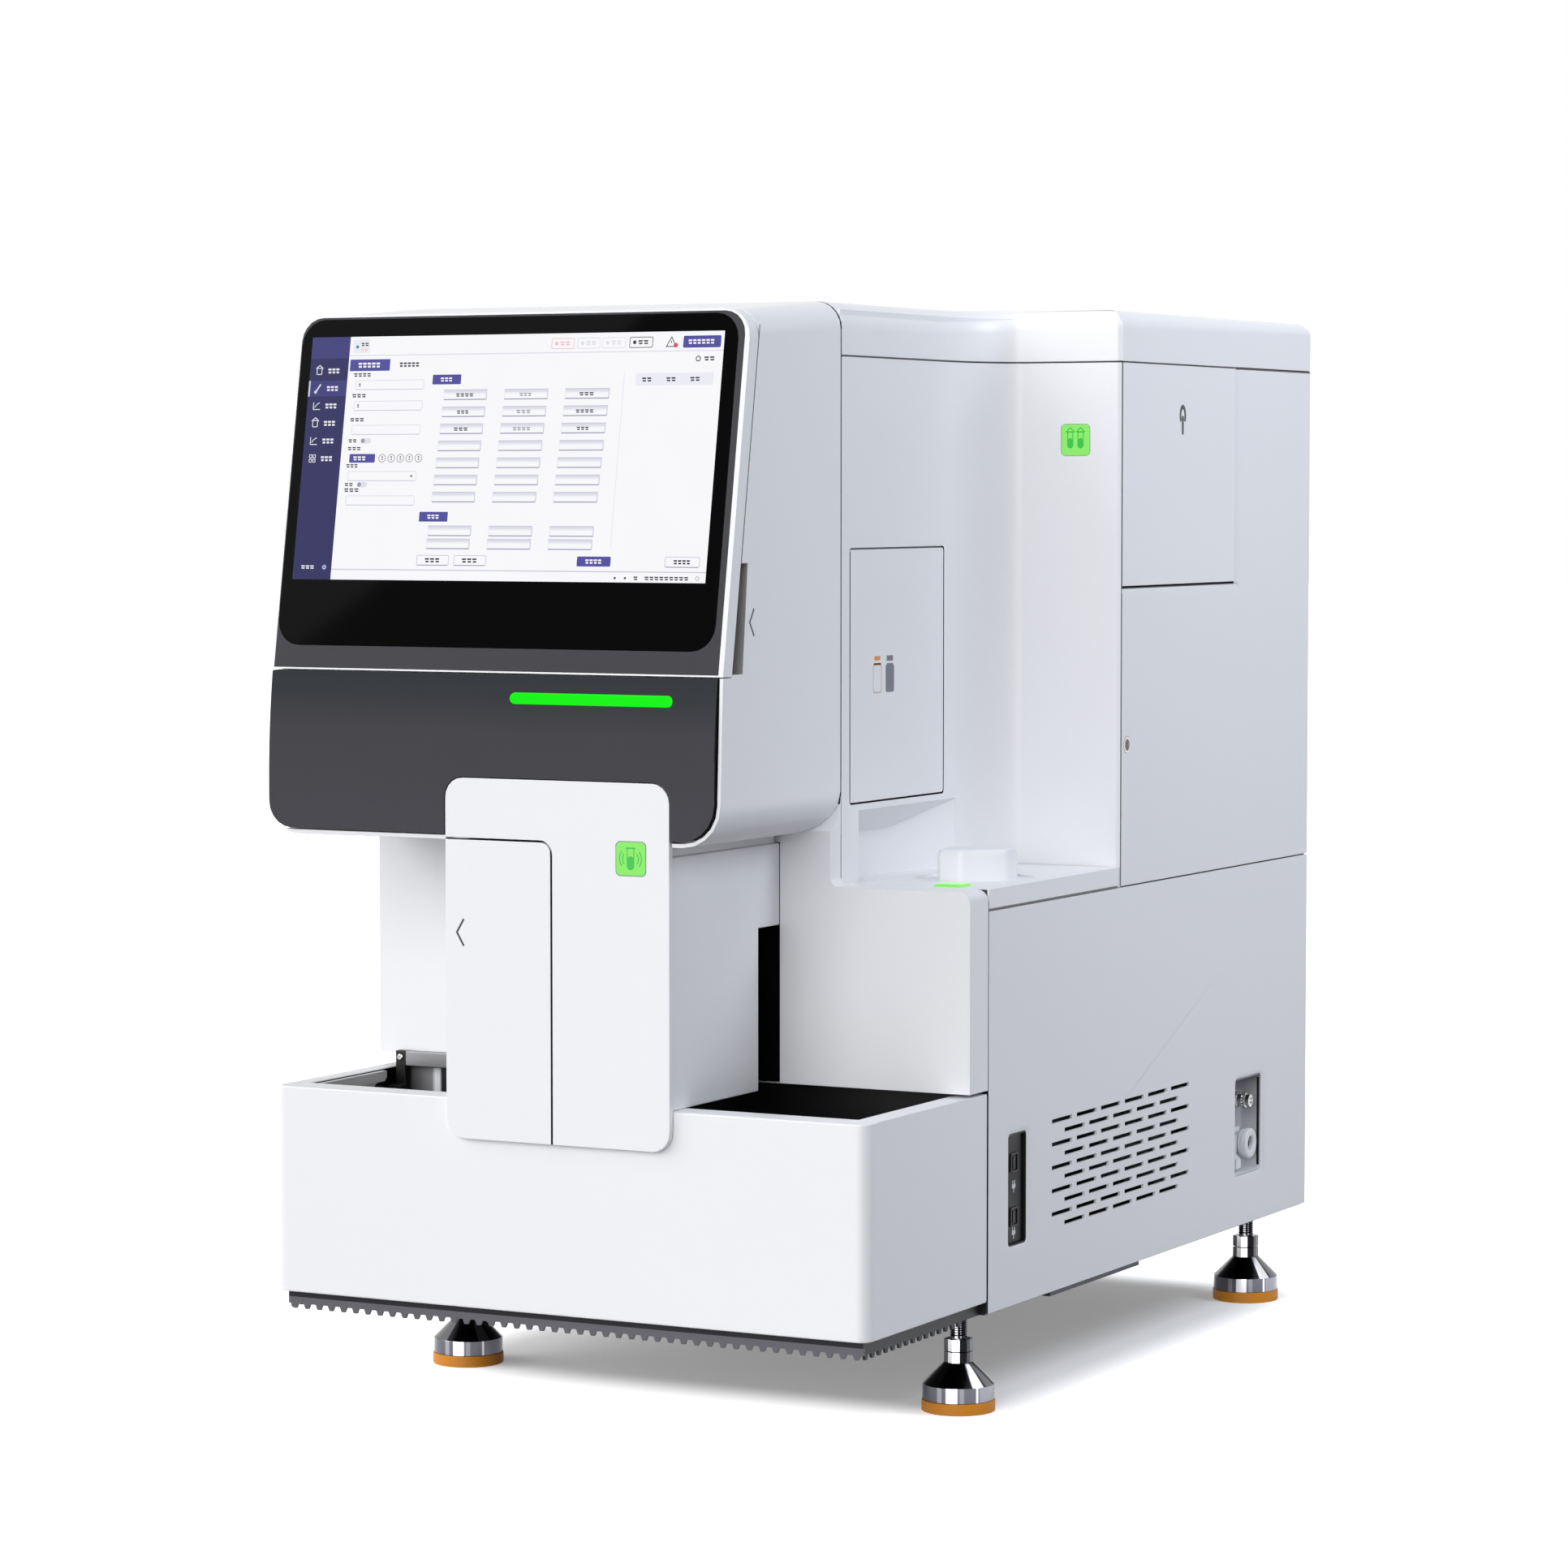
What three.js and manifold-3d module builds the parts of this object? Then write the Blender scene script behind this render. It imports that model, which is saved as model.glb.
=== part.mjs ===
// Benchtop chemiluminescence immunoassay analyzer: a 680 mm wide floor-or-bench unit on four levelling feet.
// Millimetres. X runs across, Y runs back from the front face of the sample tray, Z runs up from the floor.
import * as THREE from 'three';
import { mergeVertices } from 'three/addons/utils/BufferGeometryUtils.js';
import Module from 'manifold-3d';

const wasm = await Module();
wasm.setup();

// Driving dimensions: the whole body
const bodyWidth = 680;
const bodyDepth = 1140;
const headWidthShare = 0.76868;
const headDepth = 251.5;
const trayDepth = 271;
const trayHeight = 213;
const lowerHeight = 398;
const lidHeight = 22;
const upperHeight = 539.5;
const capHeight = 53.5;
const neckHeight = 53;

// Clearances and stock that every piece shares
const gap = 0.3;
const reveal = 1.4;
const sheet = 3;
const overrun = 6;
const roundShare = 0.5523;

// Levelling feet, from the floor up
const foot = {
  rubber: 12, rubberRadius: 38, ring: 15.5, ringRadius: 37, cone: 22, coneTop: 15, nut: 11, nutRadius: 15,
  show: 44.5, nutGap: 0.8, lockNut: 12.5, studRadius: 8, socket: 2, sides: 24, nutSides: 6,
  inset: 46.6, front: 300.5, rearInset: 67.4,
};
const panBottom = foot.rubber + foot.ring + foot.cone + foot.nut + foot.show;

// Base pan and its toothed skirt
const pan = {
  height: 13, skin: 3, rail: 72, rim: 14, inset: 9, skirt: 3, skirtDrop: 8, toothPitch: 14.7, toothDepth: 5,
  skirtLength: 232, runnerInset: 44, runnerWide: 18, runnerDrop: 17, runnerFront: 500, runnerLong: 235,
};
const toothShares = [[0.22, 0], [0.36, 1], [0.64, 1], [0.78, 0]];
const panTop = panBottom + pan.height;
const coverDrop = 11.4;
const coverBottom = panTop - coverDrop;

// Levels of the covers
const halfWidth = bodyWidth / 2;
const trayTop = panTop + trayHeight;
const seamTop = panTop + lowerHeight;
const shelfTop = seamTop + lidHeight;
const headBottom = shelfTop + neckHeight;
const capBottom = shelfTop + upperHeight;
const topLevel = capBottom + capHeight;
const headRight = bodyWidth * headWidthShare - halfWidth;

// Sample tray: thick moulded walls around an open bay, with a dark deck and a slot for the racks
const tray = { front: 34, left: 20, right: 28, back: 9, floor: 6, corner: 13 };
const deck = { level: 131, thick: 6, lanePitch: 26, rib: 3, ribHeight: 12, laneStart: 12, rail: 14 };
deck.top = panTop + deck.level + deck.thick;
const rackRail = { high: 46, front: 60 };
const pusher = { bar: 10, barHigh: 16, rise: 2, y: 186, right: 10, arm: 12, foot: 20, footHigh: 12 };
const leftWallFront = 200;
const blockFront = 228;
const blockRise = 3.5;
const blockCorner = 12;
const neckFillet = 9;
const leftWallRise = 13.5;

// Column between the two bays
const column = {
  half: 125, depth: 182, notchTop: 166, topDrop: 10, neckInset: 4, wall: 4,
  bayLeft: 8, bayWide: 105, bayDeep: 150, bayFloor: 14, bayTop: 5,
};
const columnPanel = {
  left: 129.5, right: 127, bottomDrop: 40.2, topRise: 62.5, corner: 20, front: 8,
  doorRight: 5.7, doorTop: 1, doorCorner: 13,
};
const washBottle = { radius: 34, high: 130, neck: 13, shoulder: 20, cap: 17, capHigh: 24, sides: 16 };

// Small square status lights
const light = { size: 33, corner: 5, thick: 2.3, sink: 1.7 };
const columnLight = { x: 84, z: 579 };
const wallLight = { inset: 52.8, z: 993.2 };
const lidLight = { inset: 53, y: 297.5, wide: 28, deep: 15 };

// Head: dark lower panel, leaning screen, white shell
const lean = 9.5;
const screen = {
  depth: 18.2, top: 1118, corner: 30, strip: 24.5, glassRight: 12.7, glassSide: 3, glassTop: 4.6,
  glassCorner: 26, bezelSide: 2, bezelRight: 5.7, bezelTop: 2.6, bezel: 8, glass: 3, proud: 0.4,
  moduleLeft: 14, moduleRight: 28, moduleDrop: 14.1, moduleRise: 88, module: 6, bezelCorner: 24,
};
const lowerPanel = {
  rise: 6, height: 160, bulge: 8, bulgeFrom: 640, right: 5.7, cornerLeft: 27, cornerRight: 38,
  back: 6, shadow: 1.5, steps: 6, notchGap: 1, small: 2,
};
const lightBar = { left: 57, right: 127.8, bottom: 728, high: 11.5, deep: 3, proud: 0.4 };
const head = { wall: 4, topCorner: 28, bottomLeft: 30, bottomRight: 43, rearCurve: 40, topSlope: 13, lip: 5 };
const scoop = { deep: 15, wide: 22, wideTop: 14.7, bottom: 2, high: 108, wall: 5 };

// Upper body, its bottle door and the hand recess under it
const wallFront = 597;
const bend = { from: 500, wide: 45.3, steps: 8, corner: 4 };
const bottleDoor = { front: 272.5, rear: 490.7, bottom: 620, top: 879.6, corner: 4 };
const bottleBay = { deep: 138, wall: 3, margin: 5, rim: 13 };
const bottle = { radius: 46, high: 150, shoulder: 22, neck: 15, cap: 18, capHigh: 26, pitch: 104, sides: 16 };
const niche = { front: 292, rear: 520, deep: 32, top: 612, slope: 27, taper: 8, straight: 130, wall: 3 };
const capEdge = 10;
const capRoof = 8;

// Reagent lid with its knob
const lid = { wall: 3, top: 6, dish: 62, dishDeep: 2, shadow: 2.4, shadowDeep: 1.6, sides: 32 };
const knob = { inset: 76.5, y: 406, size: 80, high: 32, chamfer: 8, corner: 6 };
const knobShares = [[-0.4, -0.43], [0, -0.5], [0.44, 0], [0.4, 0.42], [-0.02, 0.5], [-0.44, 0]];

// Right side: L-shaped service door, tilting cuvette hopper and lower panel
const sideDoor = { edge: 4.9, step: 224, stepTop: 836, chamfer: 9, chamferDeep: 2.4 };
const lock = { inset: 15.1, z: 668, radius: 9, deep: 15, cam: 5, camLong: 13, camWide: 8, sides: 20 };
const pushDoor = { gap: 1.6 };
const hopper = { wall: 2.5, margin: 8, high: 205, backHigh: 148, backDeep: 150, footDeep: 46, footRise: 10 };
const vent = {
  front: 427, top: 286.8, wide: 51, high: 4.5, pitch: 62.7, rowPitch: 12.2, rows: 10, shift: 32, clear: 110,
};
const portBay = {
  front: 324.5, wide: 44.5, bottom: 167, top: 283, deep: 20, wall: 1.5, port: 14, portProud: 5,
};
const portShares = [1 / 3, -1 / 3];
const bayRim = { wide: 6.5, deep: 2.4, corner: 5 };
const connectorBay = { inset: 210, wide: 77, bottom: 163, top: 274, deep: 24, wall: 1.5 };
const metalFitting = { inset: 163, z: 245, radius: 6.5, long: 20, collar: 9, collarLong: 6, sides: 16 };
const ringFitting = { inset: 156, z: 195, radius: 16, hole: 8, thick: 9, stem: 7, stemLong: 9, floor: 4.5,
  sides: 20 };

// Rear panel, fan and mains inlet
const fan = { inset: 160, z: 330, size: 120, thick: 25, bore: 56, hub: 20, blades: 7, blade: 2, bladeDeep: 14,
  spoke: 5, spokeThick: 3, sides: 32, tipShare: 0.93, pitchAngle: 36 };
const inlet = {
  inset: 130, z: 190, wide: 50, high: 62, deep: 26, pocketWide: 28, pocketHigh: 21, pocketDeep: 18,
  pocketDrop: 12, holeRise: 17,
};
const rocker = { wide: 22, high: 14, deep: 9, play: 0.6, floor: 2.4, dip: 3.5 };

// Inside
const midDeck = { thick: 5 };
const reagent = { inset: 170, y: 434, radius: 157, wall: 3, deep: 150, hole: 153, sides: 40 };
const carousel = {
  radius: 148, base: 6, hub: 26, hubHigh: 100, packs: 18, packWide: 34, packLong: 62, packHigh: 88,
  packInner: 76, sides: 36,
};
const incubator = {
  inset: 220, y: 720, radius: 165, inner: 118, base: 8, high: 40, hub: 30, sides: 36, spokes: 6, spoke: 14,
};
const luminometer = { reach: 220, wide: 92, deep: 80, high: 84, tube: 24, tubeHigh: 90, sides: 20 };
const gantry = { y: 470, z: 930, thick: 24, high: 40 };
const carriage = { wide: 60, wall: 8, play: 0.5, x: -150, side: 10 };
const probe = {
  rod: 7, long: 300, drop: 230, arm: 12, reach: 70, needle: 1.5, needleLong: 120, stop: 9, room: 24,
  sides: 10,
};
const supply = { wide: 210, deep: 230, high: 130, inset: 150, back: 10 };
const pump = { radius: 60, body: 127, neck: 30, high: 190, x: 120, y: 850, sides: 24 };

// Places that follow the body's width and depth
const footX = halfWidth - foot.inset;
const runnerX = halfWidth - pan.runnerInset;
const knobX = halfWidth - knob.inset;
const wallLightX = halfWidth - wallLight.inset;
const lidLightX = halfWidth - lidLight.inset;
const reagentX = halfWidth - reagent.inset;
const incubatorX = incubator.inset - halfWidth;
const luminometerX = incubatorX + luminometer.reach;
const supplyX = supply.inset - halfWidth;
const fanX = fan.inset - halfWidth;
const inletX = halfWidth - inlet.inset;
const footRear = bodyDepth - foot.rearInset;
const doorFront = wallFront + sideDoor.edge;
const doorStep = bodyDepth - sideDoor.step;
const lockY = doorFront + lock.inset;
const connectorFront = bodyDepth - connectorBay.inset;
const metalY = bodyDepth - metalFitting.inset;
const ringY = bodyDepth - ringFitting.inset;

// Materials
const paint = (color, roughness, metalness = 0) =>
  new THREE.MeshStandardMaterial({ color, roughness, metalness });
const white = paint('#f2f3f6', 0.35);
const shade = paint('#d5d8e0', 0.4);
const charcoal = paint('#3a3b40', 0.35, 0.3);
const black = paint('#101012', 0.3);
const glassBlack = paint('#08080a', 0.05);
const green = paint('#25e018', 0.3);
const steel = paint('#b9bcc2', 0.3, 0.9);
const orange = paint('#e08a10', 0.6);
const amber = paint('#a8641c', 0.2);
const grey = paint('#6d7077', 0.5);

// Shapes: outlines are lists of [a, b] or [a, b, corner radius]
const outline = (points) => {
  const shape = new THREE.Shape();
  points.forEach(([a, b, radius = 0], i) => {
    const here = new THREE.Vector2(a, b);
    const towards = ([p, q]) =>
      new THREE.Vector2(p, q).sub(here).normalize().multiplyScalar(radius).add(here);
    const into = towards(points[(i + points.length - 1) % points.length]);
    const out = towards(points[(i + 1) % points.length]);
    if (i === 0) shape.moveTo(into.x, into.y);
    else shape.lineTo(into.x, into.y);
    if (radius === 0) return;
    const c1 = into.clone().lerp(here, roundShare);
    const c2 = out.clone().lerp(here, roundShare);
    shape.bezierCurveTo(c1.x, c1.y, c2.x, c2.y, out.x, out.y);
  });
  shape.closePath();
  return shape;
};
const rect = (a0, a1, b0, b1, radii = 0) => {
  const [r0, r1, r2, r3] = Array.isArray(radii) ? radii : [radii, radii, radii, radii];
  return [[a0, b0, r0], [a1, b0, r1], [a1, b1, r2], [a0, b1, r3]];
};
const disc = (a, b, radius, sides) => Array.from({ length: sides }, (_, i) => {
  const turn = 2 * Math.PI * (i + 1 / 2) / sides;
  return [a + radius * Math.cos(turn), b + radius * Math.sin(turn)];
});

// Solids: prisms along each axis, turned profiles and booleans
const solid = (geometry) => {
  const bare = new THREE.BufferGeometry();
  bare.setAttribute('position', geometry.getAttribute('position'));
  if (geometry.index) bare.setIndex(geometry.index);
  const merged = mergeVertices(bare);
  return new wasm.Manifold(new wasm.Mesh({
    numProp: 3,
    vertProperties: Float32Array.from(merged.getAttribute('position').array),
    triVerts: Uint32Array.from(merged.index.array),
  }));
};
const extrude = (points, depth, curveSegments = 5, bevel = {}) =>
  new THREE.ExtrudeGeometry(outline(points), { depth, curveSegments, bevelEnabled: false, ...bevel });
const alongZ = (points, from, to, segments) =>
  solid(extrude(points, to - from, segments).translate(0, 0, from));
const alongY = (points, from, to, segments) =>
  solid(extrude(points, to - from, segments).rotateX(Math.PI / 2).translate(0, to, 0));
const cycle = new THREE.Matrix4().set(0, 0, 1, 0, 1, 0, 0, 0, 0, 1, 0, 0, 0, 0, 0, 1);
const alongX = (points, from, to, segments) =>
  solid(extrude(points, to - from, segments).applyMatrix4(cycle).translate(from, 0, 0));
const box = (x0, x1, y0, y1, z0, z1) => alongZ(rect(x0, x1, y0, y1), z0, z1);
const turned = (profile, sides, x, y, z) => solid(new THREE.LatheGeometry(
  profile.map(([r, h]) => new THREE.Vector2(r, h)), sides,
).rotateX(Math.PI / 2).translate(x, y, z));
const join = (first, ...rest) => rest.reduce((a, b) => a.add(b), first);
const cut = (first, ...rest) => rest.reduce((a, b) => a.subtract(b), first);
const common = (first, ...rest) => rest.reduce((a, b) => a.intersect(b), first);

const analyzer = new THREE.Group();
const frontmost = columnPanel.front + light.thick - light.sink;
analyzer.position.y = (frontmost - bodyDepth) / 2;
const piece = (name, shape, material) => {
  const mesh = shape.getMesh();
  const geometry = new THREE.BufferGeometry();
  geometry.setAttribute('position', new THREE.BufferAttribute(mesh.vertProperties, 3));
  geometry.setIndex(new THREE.BufferAttribute(mesh.triVerts, 1));
  const result = new THREE.Mesh(geometry, material);
  result.name = name;
  analyzer.add(result);
};

// Base pan: two solid side rails for the feet, a thin skin between them, and the toothed skirt in front
const innerHalf = halfWidth - sheet - gap;
const skirtHalf = halfWidth - pan.inset;
const panBack = bodyDepth - sheet - gap;
const teeth = (from, to) => {
  const count = Math.round((to - from) / pan.toothPitch);
  const step = (to - from) / count;
  const low = panBottom - pan.toothDepth;
  const high = panBottom + pan.skirtDrop;
  const edge = Array.from({ length: count }, (_, i) => toothShares.map(([along, down]) => [
    from + step * (i + along), down ? low : panBottom,
  ])).flat();
  return [[from, high], [from, panBottom], ...edge, [to, panBottom], [to, high]];
};
const panOutline = [
  [-skirtHalf, pan.inset], [skirtHalf, pan.inset], [skirtHalf, trayDepth + gap], [innerHalf, trayDepth + gap],
  [innerHalf, panBack], [-innerHalf, panBack], [-innerHalf, trayDepth + gap], [-skirtHalf, trayDepth + gap],
];
const panPocket = box(pan.rail - skirtHalf, skirtHalf - pan.rail, pan.inset + pan.rim, panBack - pan.rim,
  panBottom - overrun, panTop - pan.skin);
const runner = (side) => {
  const x = side * runnerX;
  return box(x - pan.runnerWide / 2, x + pan.runnerWide / 2,
    pan.runnerFront, pan.runnerFront + pan.runnerLong,
    panBottom - pan.runnerDrop, panBottom + pan.skirtDrop);
};
piece('base_pan', join(
  cut(alongZ(panOutline, panBottom, panTop), panPocket),
  alongY(teeth(-skirtHalf, skirtHalf), pan.inset, pan.inset + pan.skirt),
  alongX(teeth(pan.inset, pan.skirtLength), skirtHalf - pan.skirt, skirtHalf),
  alongX(teeth(pan.inset, pan.skirtLength), -skirtHalf, pan.skirt - skirtHalf),
  runner(1), runner(-1),
), charcoal);

// Feet: a rubber pad, and a bell, nut and threaded stud that turn as one
[[1, foot.front], [-1, foot.front], [-1, footRear], [1, footRear]].forEach(([side, y], i) => {
  const x = side * footX;
  const bell = foot.ring + foot.cone;
  const seat = foot.rubber - foot.socket;
  const pad = turned([[0, 0], [foot.rubberRadius, 0], [foot.rubberRadius, foot.rubber],
    [foot.studRadius * 2, foot.rubber], [foot.studRadius * 2, seat], [0, seat], [0, 0]], foot.sides, x, y, 0);
  const start = foot.rubber + gap;
  const high = panBottom - gap - start;
  const stud = turned([[0, gap - foot.socket], [foot.studRadius * 2 - gap, gap - foot.socket],
    [foot.studRadius * 2 - gap, 0], [foot.ringRadius, 0], [foot.ringRadius, foot.ring],
    [foot.coneTop, bell], [foot.studRadius, bell], [foot.studRadius, high], [0, high],
    [0, gap - foot.socket]], foot.sides, x, y, start);
  const nut = alongZ(disc(x, y, foot.nutRadius, foot.nutSides), start + bell - gap, start + bell + foot.nut);
  piece(`foot_pad_${i + 1}`, pad, orange);
  const lockLow = start + bell + foot.nut + foot.nutGap;
  const lockNut = alongZ(disc(x, y, foot.nutRadius, foot.nutSides), lockLow, lockLow + foot.lockNut);
  piece(`foot_stud_${i + 1}`, join(stud, nut, lockNut), steel);
});

// Sample tray, its deck with the rack lanes, and the rack pusher in the left bay
const trayBack = trayDepth - gap;
const bayLeft = tray.left - halfWidth;
const bayRight = halfWidth - tray.right;
const bayBack = trayBack - tray.back;
piece('sample_tray', cut(
  alongZ(rect(-halfWidth, halfWidth, 0, trayBack, [tray.corner, tray.corner, 0, 0]), panTop + gap, trayTop),
  box(bayLeft, bayRight, tray.front, bayBack, panTop + tray.floor, trayTop + overrun),
), white);
const railTop = deck.top + rackRail.high;
const laneCount = Math.floor((bayRight - deck.rail - column.half - deck.laneStart) / deck.lanePitch);
const lanes = [-1, 1].flatMap((side) => Array.from({ length: laneCount }, (_, i) => {
  const x = side * (column.half + deck.laneStart + deck.lanePitch * (i + 1));
  return box(x - deck.rib / 2, x + deck.rib / 2, tray.front + deck.laneStart, bayBack - deck.laneStart,
    deck.top - gap, deck.top + deck.ribHeight);
}));
piece('sample_deck', join(
  box(bayLeft + gap, bayRight - gap, tray.front + gap, bayBack - gap, deck.top - deck.thick, deck.top),
  box(bayLeft + gap, bayLeft + deck.rail, rackRail.front, bayBack - gap, deck.top - gap, railTop),
  box(bayRight - deck.rail, bayRight - gap, rackRail.front, bayBack - gap, deck.top - gap, railTop),
  ...lanes,
), black);
const pusherBack = pusher.y + pusher.bar;
piece('rack_pusher', join(
  box(bayLeft + gap * 2, bayLeft + pusher.foot, pusherBack - pusher.foot, pusherBack,
    railTop + gap, railTop + pusher.footHigh),
  box(bayLeft + pusher.foot - pusher.arm, bayLeft + pusher.foot, pusher.y, pusherBack,
    railTop + gap, trayTop + pusher.rise + pusher.barHigh),
  box(bayLeft + pusher.foot - gap, -column.half - pusher.right, pusher.y, pusherBack,
    trayTop + pusher.rise, trayTop + pusher.rise + pusher.barHigh),
), steel);

// Column: a hollow upright with a door bay on its left and the probe shaft on its right
const columnTop = headBottom - column.topDrop;
const notchTop = trayTop + column.notchTop;
const columnBase = trayTop + gap;
const columnRear = blockFront - gap;
const bayEdge = -column.half + column.bayLeft;
const columnBay = box(bayEdge, bayEdge + column.bayWide, -overrun, column.bayDeep,
  columnBase + column.bayFloor, columnTop - column.bayTop);
const columnShaft = box(bayEdge + column.bayWide + column.wall, column.half - column.wall, column.wall,
  column.depth - column.wall, columnBase - overrun, columnTop - column.wall);
piece('column_shell', cut(join(
  alongX([[0, columnBase], [column.depth, columnBase], [column.depth, notchTop], [columnRear, notchTop],
    [columnRear, columnTop], [0, columnTop]], -column.half, column.half),
  box(column.neckInset - column.half, column.half - column.neckInset, column.neckInset,
    columnRear - column.neckInset, columnTop - gap, headBottom - gap),
), columnBay, columnShaft), white);

const panelBottom = trayTop - columnPanel.bottomDrop;
const panelTop = headBottom + columnPanel.topRise;
const panelBack = -gap;
const panelFront = -columnPanel.front;
const doorEdge = -columnPanel.doorRight - reveal;
const doorTop = headBottom + columnPanel.doorTop;
const squareLight = (x, z, grow) => rect(x - light.size / 2 - grow, x + light.size / 2 + grow,
  z - light.size / 2 - grow, z + light.size / 2 + grow, light.corner);
piece('column_front_panel', cut(
  alongY(rect(-columnPanel.left, columnPanel.right, panelBottom, panelTop, columnPanel.corner),
    panelFront, panelBack),
  alongY(rect(-columnPanel.left - overrun, -columnPanel.doorRight, panelBottom - overrun, doorTop + reveal,
    [0, 0, columnPanel.doorCorner + reveal, 0]), panelFront - overrun, overrun),
  alongY(squareLight(columnLight.x, columnLight.z, gap), panelFront - overrun, panelFront + light.sink + gap),
), white);
piece('column_door', alongY(rect(-columnPanel.left, doorEdge, panelBottom, doorTop,
  [columnPanel.corner, 0, columnPanel.doorCorner, 0]), panelFront, panelBack), white);
piece('status_light_column', alongY(squareLight(columnLight.x, columnLight.z, 0),
  panelFront + light.sink - light.thick, panelFront + light.sink), green);
const bottleProfile = (b) => [[0, 0], [b.radius, 0], [b.radius, b.high], [b.neck, b.high + b.shoulder],
  [b.cap, b.high + b.shoulder], [b.cap, b.high + b.shoulder + b.capHigh],
  [0, b.high + b.shoulder + b.capHigh], [0, 0]];
piece('wash_bottle', turned(bottleProfile(washBottle), washBottle.sides, bayEdge + column.bayWide / 2,
  column.bayDeep - washBottle.radius - column.wall, columnBase + column.bayFloor + gap), shade);

// Screen unit: everything between two planes that lean back
const leanTan = Math.tan(THREE.MathUtils.degToRad(lean));
const panelLow = headBottom + lowerPanel.rise;
const panelHigh = panelLow + lowerPanel.height;
const screenBottom = panelHigh + reveal;
const faceY = (z) => (z - screenBottom) * leanTan;
const far = topLevel + overrun;
const between = (from, to, x0, x1) => alongX([
  [faceY(headBottom) + from, headBottom], [faceY(headBottom) + to, headBottom],
  [faceY(far) + to, far], [faceY(far) + from, far],
], x0, x1);
const leaning = (points, from, to) => common(
  alongY(points, -headDepth, headDepth), between(from, to, -bodyWidth, bodyWidth),
);
const glassLow = screenBottom + screen.strip;
const glassHigh = screen.top - screen.glassTop;
const glassOutline = (grow) => rect(screen.glassSide - halfWidth - grow, headRight - screen.glassRight + grow,
  glassLow - grow, glassHigh + grow, screen.glassCorner);
const bezelOutline = (grow) => rect(screen.bezelSide - halfWidth - grow, headRight - screen.bezelRight + grow,
  screenBottom + screen.bezelSide - grow, screen.top - screen.bezelTop + grow,
  [0, 0, screen.bezelCorner, screen.bezelCorner]);
const moduleOutline = (grow) => rect(
  screen.moduleLeft - halfWidth - grow, headRight - screen.moduleRight + grow,
  screenBottom + screen.moduleRise - grow, screen.top - screen.moduleDrop + grow);
const moduleBack = screen.bezel + screen.module;
piece('screen_shell', cut(
  leaning(rect(-halfWidth, headRight, screenBottom, screen.top, [0, 0, screen.corner, screen.corner]),
    0, screen.depth),
  leaning(bezelOutline(gap), -overrun, screen.bezel + gap),
  leaning(moduleOutline(gap), 0, moduleBack + gap),
), white);
piece('screen_bezel', cut(
  join(leaning(bezelOutline(0), 0, screen.bezel), leaning(moduleOutline(0), screen.bezel - gap, moduleBack)),
  leaning(glassOutline(gap), -overrun, screen.glass + gap - screen.proud),
), charcoal);
piece('screen_glass', leaning(glassOutline(0), -screen.proud, screen.glass - screen.proud), glassBlack);

// Lower front panel: bulges forward below the screen, with the light bar let into it
const bulgeY = (z) => {
  const rise = Math.max(0, (z - lowerPanel.bulgeFrom) / (panelHigh - lowerPanel.bulgeFrom));
  return lowerPanel.bulge * rise ** 2 - lowerPanel.bulge;
};
const bulging = (points, from, back) => {
  const levels = Array.from({ length: lowerPanel.steps + 1 }, (_, i) =>
    lowerPanel.bulgeFrom + (panelHigh - lowerPanel.bulgeFrom) * i / lowerPanel.steps);
  const low = panelLow - overrun;
  const side = [[bulgeY(low) + from, low], ...levels.map((z) => [bulgeY(z) + from, z])];
  const top = panelHigh;
  const rear = typeof back === 'function'
    ? levels.map((z) => [back(z), z]).reverse().concat([[back(low), low]])
    : [[back, top], [back, low]];
  return common(alongY(points, -headDepth, headDepth), alongX([...side, ...rear], -bodyWidth, bodyWidth));
};
const barOutline = (grow) => rect(-lightBar.left - grow, lightBar.right + grow, lightBar.bottom - grow,
  lightBar.bottom + lightBar.high + grow, lightBar.high / 2);
const notch = alongY(rect(-columnPanel.left - lowerPanel.notchGap, columnPanel.right + lowerPanel.notchGap,
  headBottom - overrun, panelTop + lowerPanel.notchGap,
  [0, 0, columnPanel.corner + lowerPanel.notchGap, columnPanel.corner + lowerPanel.notchGap]),
-headDepth, headDepth);
piece('lower_front_panel', cut(
  bulging(rect(-halfWidth, headRight - lowerPanel.right, panelLow, panelHigh,
    [lowerPanel.cornerLeft, lowerPanel.cornerRight, lowerPanel.small, lowerPanel.small]), 0, lowerPanel.back),
  notch,
  bulging(barOutline(gap), -overrun, (z) => bulgeY(z) + lightBar.deep + gap),
), charcoal);
piece('light_bar', bulging(barOutline(0), -lightBar.proud, (z) => bulgeY(z) + lightBar.deep), green);

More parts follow.
